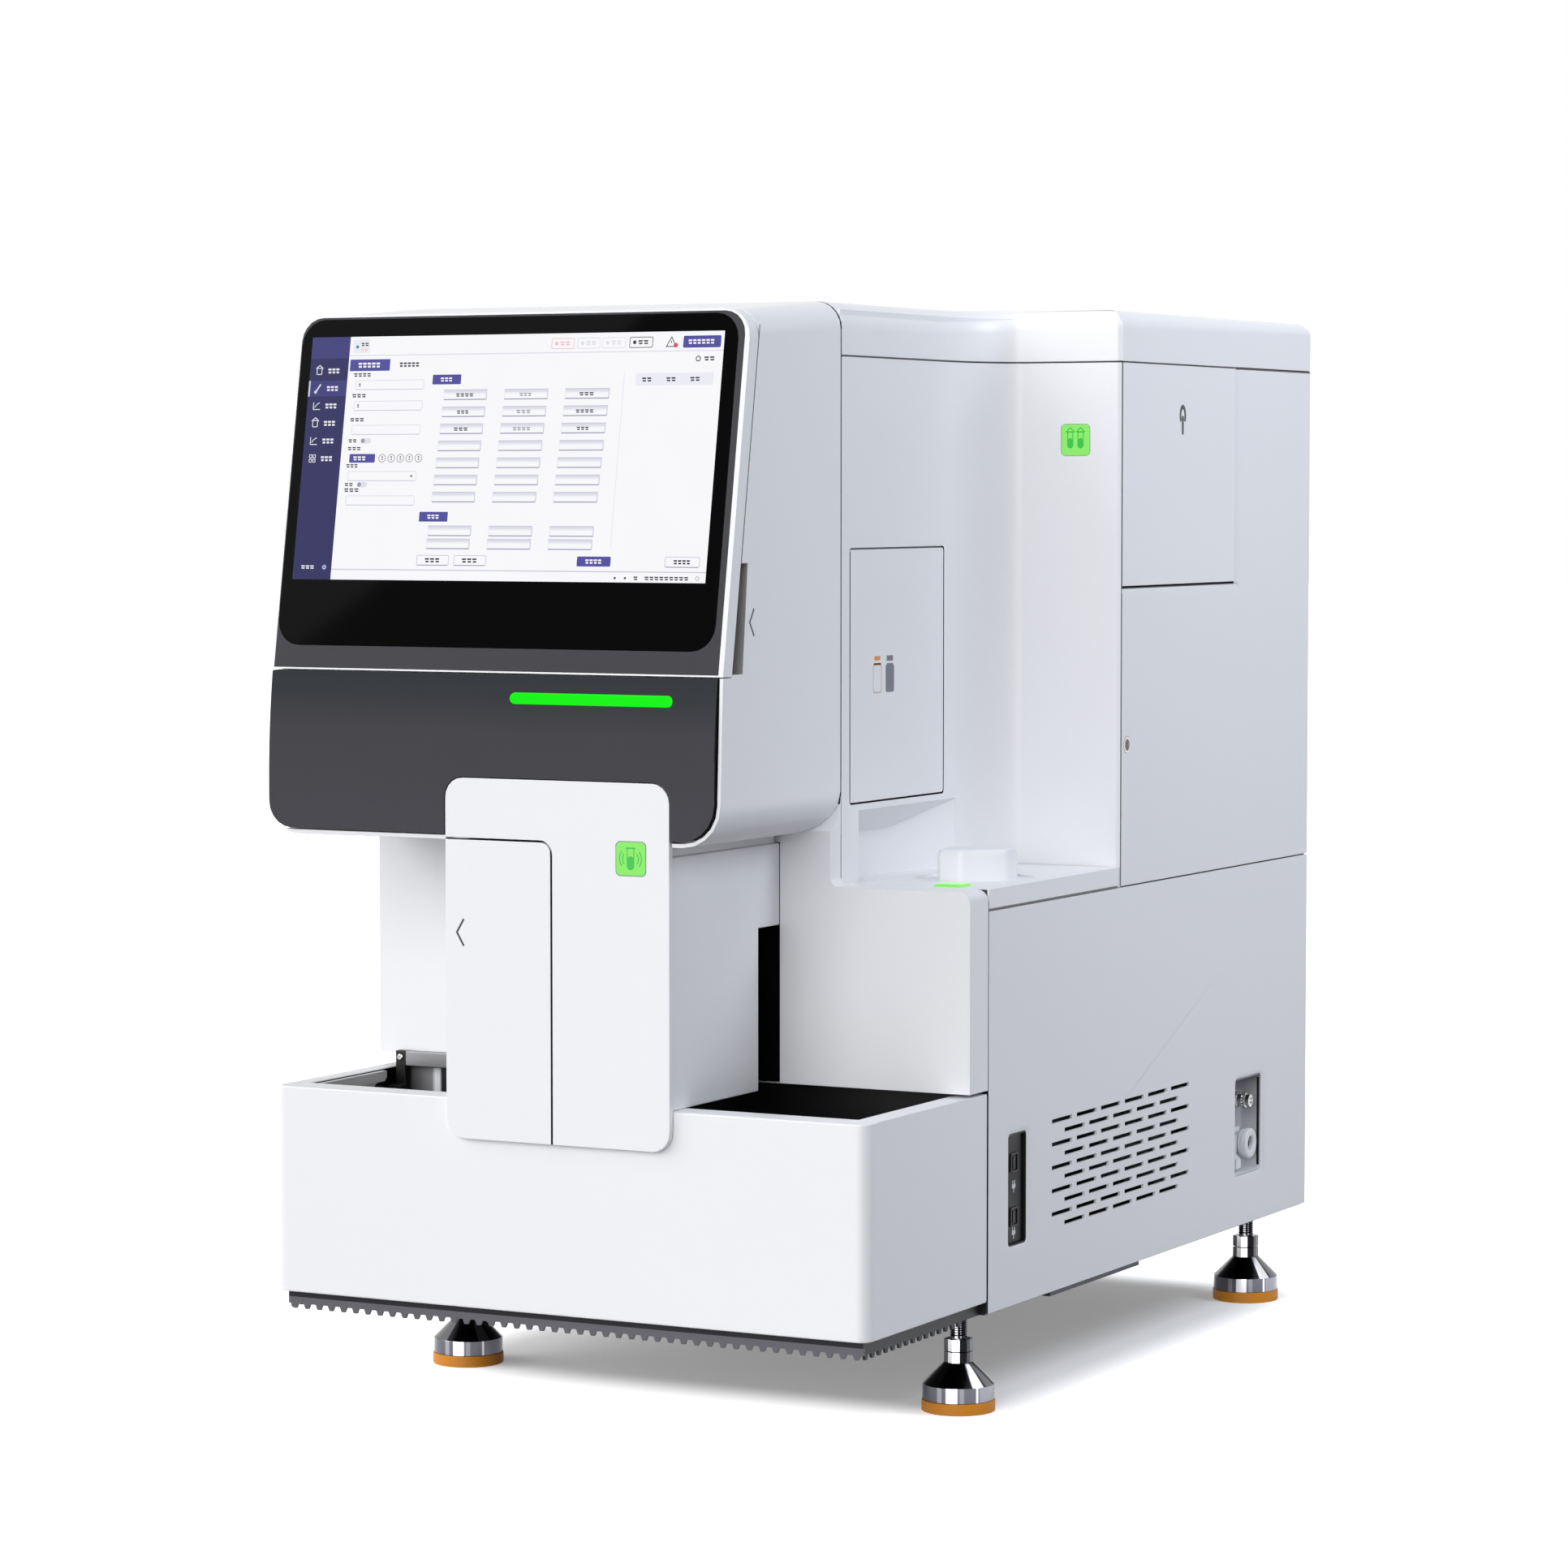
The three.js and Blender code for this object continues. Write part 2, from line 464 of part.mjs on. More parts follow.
// Head shell: open at the back, stepped in front for the screen and the lower panel
const seamY = (z) => faceY(z) + screen.depth + gap;
const stepLevel = panelHigh + gap;
const slope = head.topSlope / (headDepth - seamY(screen.top));
const rising = new THREE.Matrix4().set(
  1, 0, 0, 0, 0, 1, 0, 0, 0, slope, 1, -slope * seamY(screen.top), 0, 0, 0, 1,
);
const headBlock = (inset, back) => {
  const left = inset - halfWidth;
  const right = headRight - inset;
  const low = headBottom + inset;
  const topSection = extrude(rect(left, right, low - headDepth, screen.top - inset,
    [0, 0, head.topCorner - inset, head.topCorner - inset]), headDepth * 2)
    .rotateX(Math.PI / 2).translate(0, headDepth + overrun, 0).applyMatrix4(rising);
  const bottomSection = alongY(rect(left, right, low, far,
    [head.bottomLeft - inset, head.bottomRight - inset, 0, 0]), -headDepth, headDepth + overrun);
  const front = inset > 0 ? lowerPanel.back + gap + inset : -head.lip;
  const crest = inset > 0 ? front : gap;
  const step = stepLevel - inset;
  const profile = alongX([
    [front, low], [back, low, inset > 0 ? 0 : head.rearCurve], [back, far],
    [seamY(far) + inset, far], [seamY(step) + inset, step],
    [crest, step], [front, lowerPanel.bulgeFrom],
  ], -bodyWidth, bodyWidth);
  return common(solid(topSection), bottomSection, profile);
};
const headOuter = headBlock(0, headDepth);
const panelRecess = alongY(rect(-halfWidth - overrun, headRight - lowerPanel.right + lowerPanel.shadow,
  panelLow - lowerPanel.shadow, panelHigh + overrun, [0, lowerPanel.cornerRight, 0, 0]),
-headDepth, lowerPanel.back + gap);
const lowPanelRecess = common(panelRecess, box(-bodyWidth, bodyWidth, -headDepth, headDepth, 0, stepLevel));
const scoopLow = screenBottom + scoop.bottom;
const scoopHigh = scoopLow + scoop.high;
const scoopSide = (grow) => [
  [seamY(scoopLow) - grow, scoopLow - grow, grow], [seamY(scoopLow) + scoop.wide + grow, scoopLow - grow],
  [seamY(scoopHigh) + scoop.wideTop + grow, scoopHigh + grow], [seamY(scoopHigh) - grow, scoopHigh + grow],
];
const scoopBlock = alongX(scoopSide(scoop.wall), headRight - scoop.deep - scoop.wall, bodyWidth);
const scoopVoid = join(
  alongX(scoopSide(0), headRight - scoop.deep, bodyWidth),
  common(between(screen.depth - overrun, screen.depth + overrun, headRight - scoop.deep, bodyWidth),
    box(0, bodyWidth, -headDepth, headDepth, scoopLow, scoopHigh)),
);
piece('head_shell', cut(
  join(cut(headOuter, headBlock(head.wall, headDepth + overrun)), common(headOuter, scoopBlock)),
  lowPanelRecess, notch, scoopVoid,
), white);

// Covers around the bays: left wall, right block with its neck, dark bulkhead behind them
const underHead = headBottom - gap;
const curveTop = headBottom + head.rearCurve;
const curveFront = headDepth - head.rearCurve;
const curveWeb = (x0, x1, y0) => cut(
  box(x0, x1, y0, headDepth + gap, underHead - gap, curveTop),
  alongX([[-headDepth, underHead], [headDepth + gap, underHead, head.rearCurve], [headDepth + gap, far],
    [-headDepth, far]], x0 - overrun, x1 + overrun),
);
piece('left_front_wall', join(
  box(-halfWidth, -column.half - reveal, leftWallFront, leftWallFront + sheet,
    trayTop + leftWallRise, underHead),
  box(-halfWidth, sheet - halfWidth, leftWallFront, trayBack, trayTop + leftWallRise, underHead),
  box(-halfWidth, -column.half - reveal, curveFront, bayBack, underHead - sheet, underHead),
  curveWeb(-halfWidth, -column.half - reveal, curveFront),
), white);
const blockOutline = (inset) => [
  [column.half + inset, trayTop + blockRise + inset], [halfWidth - inset, trayTop + blockRise + inset],
  [halfWidth - inset, shelfTop - inset, blockCorner - inset],
  [headRight - inset, shelfTop - inset, neckFillet + inset],
  [headRight - inset, underHead - inset], [column.half + inset, underHead - inset],
];
piece('front_cover_right', join(
  cut(
    alongY(blockOutline(0), blockFront, trayBack),
    alongY(blockOutline(sheet), blockFront + sheet, trayDepth + overrun),
    box(column.half - overrun, headRight + overrun, headDepth, trayDepth, shelfTop + reveal, headBottom),
  ),
  curveWeb(column.half, headRight, blockFront),
), white);
const bulkhead = { y: bayBack + gap, thick: sheet };
piece('front_bulkhead', alongY([
  [-innerHalf, trayTop + gap], [column.half - gap, trayTop + gap], [column.half - gap, underHead],
  [-innerHalf, underHead],
], bulkhead.y, bulkhead.y + bulkhead.thick), black);

// Upper body side: straight wall, hollow curve, then the wall that faces forward
const bendX = headRight + bend.wide;
const upperLine = (inset) => [
  [headRight - inset, headDepth + reveal],
  ...Array.from({ length: bend.steps + 1 }, (_, i) => {
    const turn = Math.PI / 2 * i / bend.steps;
    return [bendX - (bend.wide + inset) * Math.cos(turn),
      bend.from + (wallFront - bend.from + inset) * Math.sin(turn)];
  }),
];
const upperFoot = seamTop + gap;
const upperTop = capBottom - reveal;
const doorHole = alongX(rect(bottleDoor.front - reveal, bottleDoor.rear + reveal, bottleDoor.bottom - reveal,
  bottleDoor.top + reveal, bottleDoor.corner), 0, bodyWidth);
const nicheOutline = (grow) => [
  [headRight + overrun, niche.front - grow], [headRight - niche.taper, niche.front - grow],
  [headRight - niche.deep - grow, niche.front + niche.taper],
  [headRight - niche.deep - grow, niche.front + niche.straight],
  [headRight - gap, niche.rear + grow], [headRight + overrun, niche.rear + grow],
];
const nicheRoof = (grow) => [
  [0, 0], [bodyWidth, 0], [bodyWidth, niche.top + grow], [headRight, niche.top + grow],
  [headRight - niche.deep, niche.top - niche.slope + grow], [0, niche.top - niche.slope + grow],
];
const nicheShape = (grow, low) => common(
  alongZ(nicheOutline(grow), low, niche.top + niche.slope),
  alongY(nicheRoof(grow), 0, bodyDepth),
);
const nicheLiner = common(nicheShape(niche.wall, shelfTop - niche.wall),
  box(0, headRight, 0, bodyDepth, 0, topLevel));
piece('upper_side_shell', cut(
  join(
    alongZ([
      ...upperLine(0), [halfWidth - bend.corner, wallFront], [halfWidth, wallFront + bend.corner],
      [halfWidth - sheet, wallFront + bend.corner], [halfWidth - sheet - bend.corner, wallFront + sheet],
      ...upperLine(sheet).reverse(),
    ], upperFoot, upperTop),
    nicheLiner,
  ),
  nicheShape(0, shelfTop), doorHole,
  box(0, bodyWidth, 0, trayDepth + reveal, 0, shelfTop + reveal),
  alongY(squareLight(wallLightX, wallLight.z, gap), wallFront - overrun, wallFront + light.sink + gap),
), white);
piece('status_light_upper', alongY(squareLight(wallLightX, wallLight.z, 0),
  wallFront + light.sink - light.thick, wallFront + light.sink), green);
piece('bottle_door', alongX(rect(bottleDoor.front, bottleDoor.rear, bottleDoor.bottom, bottleDoor.top,
  bottleDoor.corner), headRight - sheet, headRight), white);

// Bottle bay behind the bottle door, with the two reagent bottles
const bayFace = headRight - sheet - gap;
const bayLow = bottleDoor.bottom + bottleBay.margin;
const bayHigh = bottleDoor.top - bottleBay.margin;
const bayNear = bottleDoor.front + bottleBay.margin;
const bayAway = bottleDoor.rear - bottleBay.margin;
piece('bottle_bay', cut(
  box(bayFace - bottleBay.deep, bayFace, bayNear - bottleBay.rim, bayAway + bottleBay.rim,
    bayLow - bottleBay.wall, bayHigh + bottleBay.rim),
  box(bayFace - bottleBay.deep + bottleBay.wall, bayFace + overrun, bayNear, bayAway, bayLow, bayHigh),
), shade);
const bottleX = bayFace - bottleBay.deep + bottleBay.wall + bottleBay.margin + bottle.radius;
const bottleMid = (bayNear + bayAway) / 2;
piece('bottle_a', turned(bottleProfile(bottle), bottle.sides, bottleX, bottleMid - bottle.pitch / 2,
  bayLow + gap), amber);
piece('bottle_b', turned(bottleProfile(bottle), bottle.sides, bottleX, bottleMid + bottle.pitch / 2,
  bayLow + gap), grey);

// Top cap over the upper body, hollow from below, with an eased upper edge and a lip that rests on the walls
const capOutline = (inset) => [
  [inset - halfWidth, bodyDepth - inset], [inset - halfWidth, headDepth + reveal + inset],
  ...upperLine(inset).map(([x, y], i) => [x, i === 0 ? y + inset : y]),
  [halfWidth - inset, wallFront + inset], [halfWidth - inset, bodyDepth - inset],
];
const capRound = { bevelEnabled: true, bevelThickness: capEdge, bevelSize: capEdge, bevelOffset: -capEdge,
  bevelSegments: 2 };
piece('top_cap', cut(
  join(
    cut(
      solid(extrude(capOutline(0), capHeight - capEdge, 1, capRound).translate(0, 0, capBottom)),
      box(-bodyWidth, bodyWidth, -bodyDepth, bodyDepth * 2, 0, capBottom),
    ),
    alongZ(capOutline(reveal), upperTop + gap, capBottom + overrun),
  ),
  alongZ(capOutline(head.wall), capBottom - overrun, topLevel - capRoof),
), white);

// Reagent lid over the shelf, with a dish around its faceted knob
const lidLeft = headRight + reveal;
const lidBack = wallFront - reveal;
const lidFront = trayDepth + reveal;
const lidLow = seamTop + gap;
const lidOutline = (inset) => [
  [lidLeft + inset, lidFront + inset], [halfWidth - inset, lidFront + inset],
  [halfWidth - inset, lidBack - inset],
  ...upperLine(-reveal - inset).slice(1).reverse(),
];
const knobPoints = knobShares.map(([a, b]) => [knobX + a * knob.size, knob.y + b * knob.size, knob.corner]);
const knobRound = { bevelEnabled: true, bevelThickness: knob.chamfer, bevelSize: knob.chamfer,
  bevelOffset: -knob.chamfer, bevelSegments: 2 };
const knobSolid = cut(
  solid(extrude(knobPoints, knob.high, 1, knobRound).translate(0, 0, shelfTop - knob.chamfer)),
  box(-bodyWidth, bodyWidth, -bodyDepth, bodyDepth, 0, shelfTop - lid.dishDeep - gap),
);
const lidLightOutline = (grow) => rect(
  lidLightX - lidLight.wide / 2 - grow, lidLightX + lidLight.wide / 2 + grow,
  lidLight.y - lidLight.deep / 2 - grow, lidLight.y + lidLight.deep / 2 + grow, light.corner);
piece('reagent_lid', cut(
  join(
    cut(
      alongZ(lidOutline(0), lidLow, shelfTop),
      alongZ(lidOutline(lid.wall), lidLow - overrun, shelfTop - lid.top),
      alongZ(disc(knobX, knob.y, lid.dish, lid.sides), shelfTop - lid.dishDeep, shelfTop + overrun),
      box(halfWidth - lid.shadowDeep, halfWidth + overrun, 0, bodyDepth, 0, lidLow + lid.shadow),
    ),
    knobSolid,
  ),
  alongZ(lidLightOutline(gap), shelfTop - light.sink - gap, shelfTop + overrun),
), white);
piece('status_light_lid', alongZ(lidLightOutline(0), shelfTop - light.sink,
  shelfTop - light.sink + light.thick), green);

// Right side: service door with a stepped corner, its lock, and the tilting hopper in the step
const skin = halfWidth - sheet;
const doorLow = seamTop + reveal;
const doorHigh = upperTop;
const lockHole = alongX(disc(lockY, lock.z, lock.radius + gap, lock.sides), 0, bodyWidth);
const chamferStep = doorStep + sideDoor.chamfer;
piece('side_door', cut(
  alongX([[doorFront, doorLow], [bodyDepth, doorLow], [bodyDepth, doorHigh], [doorStep, doorHigh],
    [doorStep, sideDoor.stepTop], [doorFront, sideDoor.stepTop]], skin, halfWidth),
  alongZ([[halfWidth + gap, chamferStep], [halfWidth - sideDoor.chamferDeep, doorStep],
    [halfWidth + gap, doorStep]], sideDoor.stepTop - sideDoor.chamfer, doorHigh + overrun),
  alongY([[halfWidth + gap, sideDoor.stepTop - sideDoor.chamfer], [halfWidth + gap, sideDoor.stepTop],
    [halfWidth - sideDoor.chamferDeep, sideDoor.stepTop]], doorFront - overrun, chamferStep),
  lockHole,
), white);
piece('side_door_lock', join(
  alongX(disc(lockY, lock.z, lock.radius, lock.sides), halfWidth - lock.deep, halfWidth),
  alongX(rect(lockY - lock.camLong, lockY + lock.camWide / 2, lock.z - lock.camWide / 2,
    lock.z + lock.camWide / 2), halfWidth - lock.deep, halfWidth - lock.deep + lock.cam),
), steel);
const pushLow = sideDoor.stepTop + reveal;
const pushRear = doorStep - pushDoor.gap;
piece('push_door', box(skin, halfWidth, doorFront, pushRear, pushLow, doorHigh), white);
const hopperFace = skin - gap;
const hopperSide = (inset) => {
  const front = hopperFace - inset;
  const back = hopperFace - hopper.backDeep + inset;
  const lift = inset > 0 ? overrun : 0;
  return [
    [front, pushLow + hopper.footRise + inset], [front, pushLow + hopper.high + lift],
    [back, pushLow + hopper.backHigh + lift],
    [hopperFace - hopper.footDeep, pushLow + hopper.footRise + inset],
  ];
};
piece('cuvette_hopper', cut(
  alongY(hopperSide(0), doorFront + hopper.margin, pushRear - hopper.margin),
  alongY(hopperSide(hopper.wall), doorFront + hopper.margin + hopper.wall,
    pushRear - hopper.margin - hopper.wall),
), shade);

// Lower right panel with its vent slots and two recesses, and the plain left panel
const ventColumns = Math.floor((connectorFront - vent.front - vent.clear) / vent.pitch);
const slots = Array.from({ length: vent.rows }, (_, row) => {
  const odd = row % 2;
  return Array.from({ length: ventColumns - odd }, (_, i) => {
    const y = vent.front + odd * vent.shift + vent.pitch * i;
    const z = vent.top - vent.rowPitch * row;
    return alongX(rect(y, y + vent.wide, z - vent.high, z), skin - overrun, halfWidth + overrun);
  });
}).flat();
const bayOutline = (b, front, inset) => rect(front + inset, front + b.wide - inset,
  b.bottom + inset, b.top - inset, bayRim.corner - inset);
const dished = { bevelEnabled: true, bevelThickness: bayRim.deep, bevelSize: bayRim.wide, bevelSegments: 1 };
const bayHole = (b, front) => join(
  alongX(bayOutline(b, front, 0), skin - overrun, halfWidth + overrun),
  solid(extrude(bayOutline(b, front, 0), overrun, 5, dished).applyMatrix4(cycle).translate(halfWidth, 0, 0)),
);
piece('side_panel_right', cut(
  alongX(rect(trayDepth + reveal, bodyDepth, coverBottom, seamTop - gap), skin, halfWidth),
  ...slots, bayHole(portBay, portBay.front), bayHole(connectorBay, connectorFront),
), white);
piece('side_panel_left', alongX([
  [trayDepth + reveal, coverBottom], [bodyDepth, coverBottom], [bodyDepth, upperTop],
  [headDepth + reveal, upperTop], [headDepth + reveal, headBottom], [trayDepth + reveal, headBottom],
], -halfWidth, sheet - halfWidth), white);
const bayLiner = (b, front) => cut(
  alongX(bayOutline(b, front, gap), halfWidth - b.deep - b.wall, halfWidth - bayRim.deep - gap),
  alongX(bayOutline(b, front, gap + b.wall), halfWidth - b.deep, halfWidth + overrun),
);
const portMid = portBay.front + portBay.wide / 2;
const ports = portShares.map((share) => {
  const z = (portBay.top + portBay.bottom) / 2 + share * (portBay.top - portBay.bottom);
  return box(halfWidth - portBay.deep - gap, halfWidth - portBay.deep + portBay.portProud,
    portMid - portBay.port / 2, portMid + portBay.port / 2, z - portBay.port / 2, z + portBay.port / 2);
});
piece('port_bay', join(bayLiner(portBay, portBay.front), ...ports), black);
piece('connector_bay', bayLiner(connectorBay, connectorFront), shade);
const fittingFoot = halfWidth - connectorBay.deep + gap;
piece('metal_connector', join(
  alongX(disc(metalY, metalFitting.z, metalFitting.radius, metalFitting.sides), fittingFoot,
    fittingFoot + metalFitting.long),
  alongX(disc(metalY, metalFitting.z, metalFitting.collar, metalFitting.sides), fittingFoot,
    fittingFoot + metalFitting.collarLong),
), steel);
piece('ring_connector', join(
  cut(
    alongX(disc(ringY, ringFitting.z, ringFitting.radius, ringFitting.sides),
      fittingFoot + ringFitting.stemLong - gap, fittingFoot + ringFitting.stemLong + ringFitting.thick),
    alongX(disc(ringY, ringFitting.z, ringFitting.hole, ringFitting.sides),
      fittingFoot + ringFitting.stemLong + ringFitting.floor, halfWidth),
  ),
  alongX(disc(ringY, ringFitting.z, ringFitting.stem, ringFitting.sides), fittingFoot,
    fittingFoot + ringFitting.stemLong),
), white);

// Rear panel, fan and mains inlet with its rocker switch
const rearFace = bodyDepth - sheet;
const rocking = { x: inletX, z: inlet.z + inlet.holeRise };
const inletOutline = (grow) => rect(inletX - inlet.wide / 2 - grow, inletX + inlet.wide / 2 + grow,
  inlet.z - inlet.high / 2 - grow, inlet.z + inlet.high / 2 + grow);
const rockerHole = (grow) => rect(rocking.x - rocker.wide / 2 - grow, rocking.x + rocker.wide / 2 + grow,
  rocking.z - rocker.high / 2 - grow, rocking.z + rocker.high / 2 + grow);
piece('rear_panel', cut(
  alongY(rect(-skin + gap, skin - gap, coverBottom, upperTop), rearFace, bodyDepth),
  alongY(disc(fanX, fan.z, fan.bore, fan.sides), rearFace - overrun, bodyDepth + overrun),
  alongY(inletOutline(0), rearFace - overrun, bodyDepth + overrun),
), shade);
const fanBack = rearFace - gap;
const fanFront = fanBack - fan.thick;
const spokes = [0, 1].map((turn) => {
  const half = [fan.bore + overrun / 2, fan.spoke / 2];
  const [a, b] = turn ? half : [half[1], half[0]];
  return alongY(rect(fanX - a, fanX + a, fan.z - b, fan.z + b), fanFront, fanFront + fan.spokeThick);
});
piece('fan_frame', join(
  cut(
    alongY(rect(fanX - fan.size / 2, fanX + fan.size / 2, fan.z - fan.size / 2, fan.z + fan.size / 2),
      fanFront, fanBack),
    alongY(disc(fanX, fan.z, fan.bore, fan.sides), fanFront - overrun, fanBack + overrun),
  ),
  ...spokes,
  alongY(disc(fanX, fan.z, fan.hub, fan.sides), fanFront, fanFront + fan.spokeThick),
), black);
const bladeLow = fanFront + fan.spokeThick + gap;
const blades = Array.from({ length: fan.blades }, (_, i) => {
  const blade = new THREE.BoxGeometry(fan.bore * fan.tipShare - fan.hub / 2, fan.blade, fan.bladeDeep);
  const reach = (fan.bore * fan.tipShare + fan.hub / 2) / 2;
  return solid(blade.rotateX(THREE.MathUtils.degToRad(fan.pitchAngle)).translate(reach, 0, 0)
    .rotateZ(2 * Math.PI * i / fan.blades).rotateX(Math.PI / 2)
    .translate(fanX, bladeLow + fan.bladeDeep / 2, fan.z));
});
piece('fan_rotor', join(
  alongY(disc(fanX, fan.z, fan.hub, fan.sides), bladeLow, bladeLow + fan.bladeDeep), ...blades,
), black);
const inletPocket = inlet.z - inlet.pocketDrop;
piece('mains_inlet', cut(
  alongY(inletOutline(-gap), bodyDepth - inlet.deep, bodyDepth),
  alongY(rect(inletX - inlet.pocketWide / 2, inletX + inlet.pocketWide / 2,
    inletPocket - inlet.pocketHigh / 2, inletPocket + inlet.pocketHigh / 2),
  bodyDepth - inlet.pocketDeep, bodyDepth + overrun),
  alongY(rockerHole(rocker.play), bodyDepth - rocker.deep - rocker.floor, bodyDepth + overrun),
), black);
const rockerFace = bodyDepth - rocker.play;
piece('mains_switch', alongX([
  [bodyDepth - rocker.deep, rocking.z - rocker.dip], [bodyDepth - rocker.deep, rocking.z + rocker.dip],
  [rockerFace - rocker.dip, rocking.z + rocker.high / 2 - rocker.play],
  [rockerFace - rocker.dip, rocking.z], [rockerFace, rocking.z - rocker.high / 2 + rocker.play],
  [rockerFace - rocker.dip, rocking.z - rocker.high / 2 + rocker.play],
], rocking.x - rocker.wide / 2, rocking.x + rocker.wide / 2), grey);

// Inside: the deck plate, the cooled reagent tub and carousel, the incubator, the reader and the probe gantry
const deckLow = seamTop - gap - midDeck.thick;
const deckTop = seamTop - gap;
piece('mid_deck', cut(
  box(-innerHalf + gap, innerHalf - gap, trayDepth + reveal, rearFace - gap, deckLow, deckTop),
  alongZ(disc(reagentX, reagent.y, reagent.hole, reagent.sides), deckLow - overrun, deckTop + overrun),
), steel);
const tubTop = deckLow - gap;
const tubLow = tubTop - reagent.deep;
const ringWall = reagent.radius - reagent.wall;
piece('reagent_tub', turned([
  [0, 0], [reagent.radius, 0], [reagent.radius, reagent.deep], [ringWall, reagent.deep],
  [ringWall, reagent.wall], [0, reagent.wall], [0, 0]], reagent.sides, reagentX, reagent.y, tubLow), steel);
const packs = Array.from({ length: carousel.packs }, (_, i) => {
  const pack = new THREE.BoxGeometry(carousel.packLong, carousel.packWide, carousel.packHigh);
  const packRise = carousel.base + carousel.packHigh / 2 - gap;
  return solid(pack.translate(carousel.packInner + carousel.packLong / 2, 0, packRise)
    .rotateZ(2 * Math.PI * (i + 1 / 2) / carousel.packs)
    .translate(reagentX, reagent.y, tubLow + reagent.wall + gap));
});
piece('reagent_carousel', join(
  turned([[0, 0], [carousel.radius, 0], [carousel.radius, carousel.base], [carousel.hub, carousel.base],
    [carousel.hub, carousel.hubHigh], [0, carousel.hubHigh], [0, 0]], carousel.sides, reagentX, reagent.y,
  tubLow + reagent.wall + gap),
  ...packs.filter((_, i) => i % 2 === 0),
), shade);
const ringSpokes = Array.from({ length: incubator.spokes / 2 }, (_, i) => {
  const bar = new THREE.BoxGeometry(incubator.inner * 2 + overrun, incubator.spoke, incubator.base);
  return solid(bar.rotateZ(2 * Math.PI * i / incubator.spokes)
    .translate(incubatorX, incubator.y, seamTop + incubator.base / 2));
});
piece('incubator_ring', join(
  turned([[incubator.inner, 0], [incubator.radius, 0], [incubator.radius, incubator.high],
    [incubator.inner, incubator.high], [incubator.inner, 0]], incubator.sides,
  incubatorX, incubator.y, seamTop),
  turned([[0, 0], [incubator.hub, 0], [incubator.hub, incubator.high], [0, incubator.high], [0, 0]],
    incubator.sides, incubatorX, incubator.y, seamTop),
  ...ringSpokes,
), grey);
piece('luminometer', join(
  box(luminometerX - luminometer.wide / 2, luminometerX + luminometer.wide / 2,
    incubator.y - luminometer.deep / 2, incubator.y + luminometer.deep / 2,
    seamTop, seamTop + luminometer.high),
  turned([[0, 0], [luminometer.tube, 0], [luminometer.tube, luminometer.tubeHigh],
    [0, luminometer.tubeHigh], [0, 0]], luminometer.sides,
  luminometerX, incubator.y, seamTop + luminometer.high - gap),
), charcoal);
const beamTop = gantry.z + gantry.high;
const beamBack = gantry.y + gantry.thick;
piece('gantry_beam', box(-innerHalf, bayFace, gantry.y, beamBack, gantry.z, beamTop), steel);
const play = carriage.play;
const carriageBack = beamBack + play + carriage.wall + probe.room;
const rodY = beamBack + play + carriage.wall + probe.arm;
piece('probe_carriage', cut(
  box(carriage.x - carriage.wide / 2, carriage.x + carriage.wide / 2, beamBack + play, carriageBack,
    gantry.z - carriage.side, beamTop + carriage.side),
  alongZ(disc(carriage.x, rodY, probe.rod + play, probe.sides), gantry.z - carriage.side - overrun,
    beamTop + carriage.side + overrun),
), charcoal);
const rodLow = gantry.z - probe.drop;
piece('probe_arm', join(
  alongZ(disc(carriage.x, rodY, probe.rod, probe.sides), rodLow, rodLow + probe.long),
  box(carriage.x - probe.arm / 2, carriage.x + probe.arm / 2, rodY - probe.arm / 2, rodY + probe.reach,
    rodLow, rodLow + probe.arm),
  alongZ(disc(carriage.x, rodY + probe.reach - probe.arm / 2, probe.needle, probe.sides),
    rodLow - probe.needleLong, rodLow + gap),
  alongZ(disc(carriage.x, rodY, probe.stop, probe.sides), beamTop + carriage.side + gap,
    beamTop + carriage.side + probe.arm),
), steel);

// Lower bay: power supply and vacuum pump on the base pan
piece('power_supply', box(supplyX - supply.wide / 2, supplyX + supply.wide / 2,
  rearFace - supply.back - supply.deep, rearFace - supply.back, panTop + gap, panTop + supply.high), steel);
piece('vacuum_pump', turned([[0, 0], [pump.radius, 0], [pump.radius, pump.body], [pump.neck, pump.high],
  [0, pump.high], [0, 0]], pump.sides, pump.x, pump.y, panTop + gap), grey);

export default analyzer;
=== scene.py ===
"""Looks of the immunoassay analyzer: camera, light, finishes, and small parts that the CAD leaves out."""
import math

import bmesh
import bpy
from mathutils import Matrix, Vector


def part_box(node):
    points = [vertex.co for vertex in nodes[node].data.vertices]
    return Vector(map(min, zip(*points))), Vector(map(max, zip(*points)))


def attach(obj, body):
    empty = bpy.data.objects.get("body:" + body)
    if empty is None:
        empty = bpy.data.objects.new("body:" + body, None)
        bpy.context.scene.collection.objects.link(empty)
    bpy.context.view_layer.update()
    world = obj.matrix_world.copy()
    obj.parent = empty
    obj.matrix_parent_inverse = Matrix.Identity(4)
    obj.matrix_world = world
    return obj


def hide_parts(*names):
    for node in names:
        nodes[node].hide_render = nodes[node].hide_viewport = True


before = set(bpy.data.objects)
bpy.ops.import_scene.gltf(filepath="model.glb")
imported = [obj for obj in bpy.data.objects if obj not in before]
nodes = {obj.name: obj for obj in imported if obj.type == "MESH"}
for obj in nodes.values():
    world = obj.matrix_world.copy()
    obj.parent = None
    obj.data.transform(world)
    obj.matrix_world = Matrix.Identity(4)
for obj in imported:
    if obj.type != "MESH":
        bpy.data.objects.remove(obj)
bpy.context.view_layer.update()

# Places are in millimetres from the middle of the sample tray's front edge, at floor level.
MM = 0.001
TRAY_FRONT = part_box("sample_tray")[0].y
HALF_WIDTH = 340.0
HEAD_RIGHT = 182.7
SCREEN_BOTTOM = 758.4
SCREEN_LEAN = math.radians(9.5)
GLASS_PROUD = 0.4
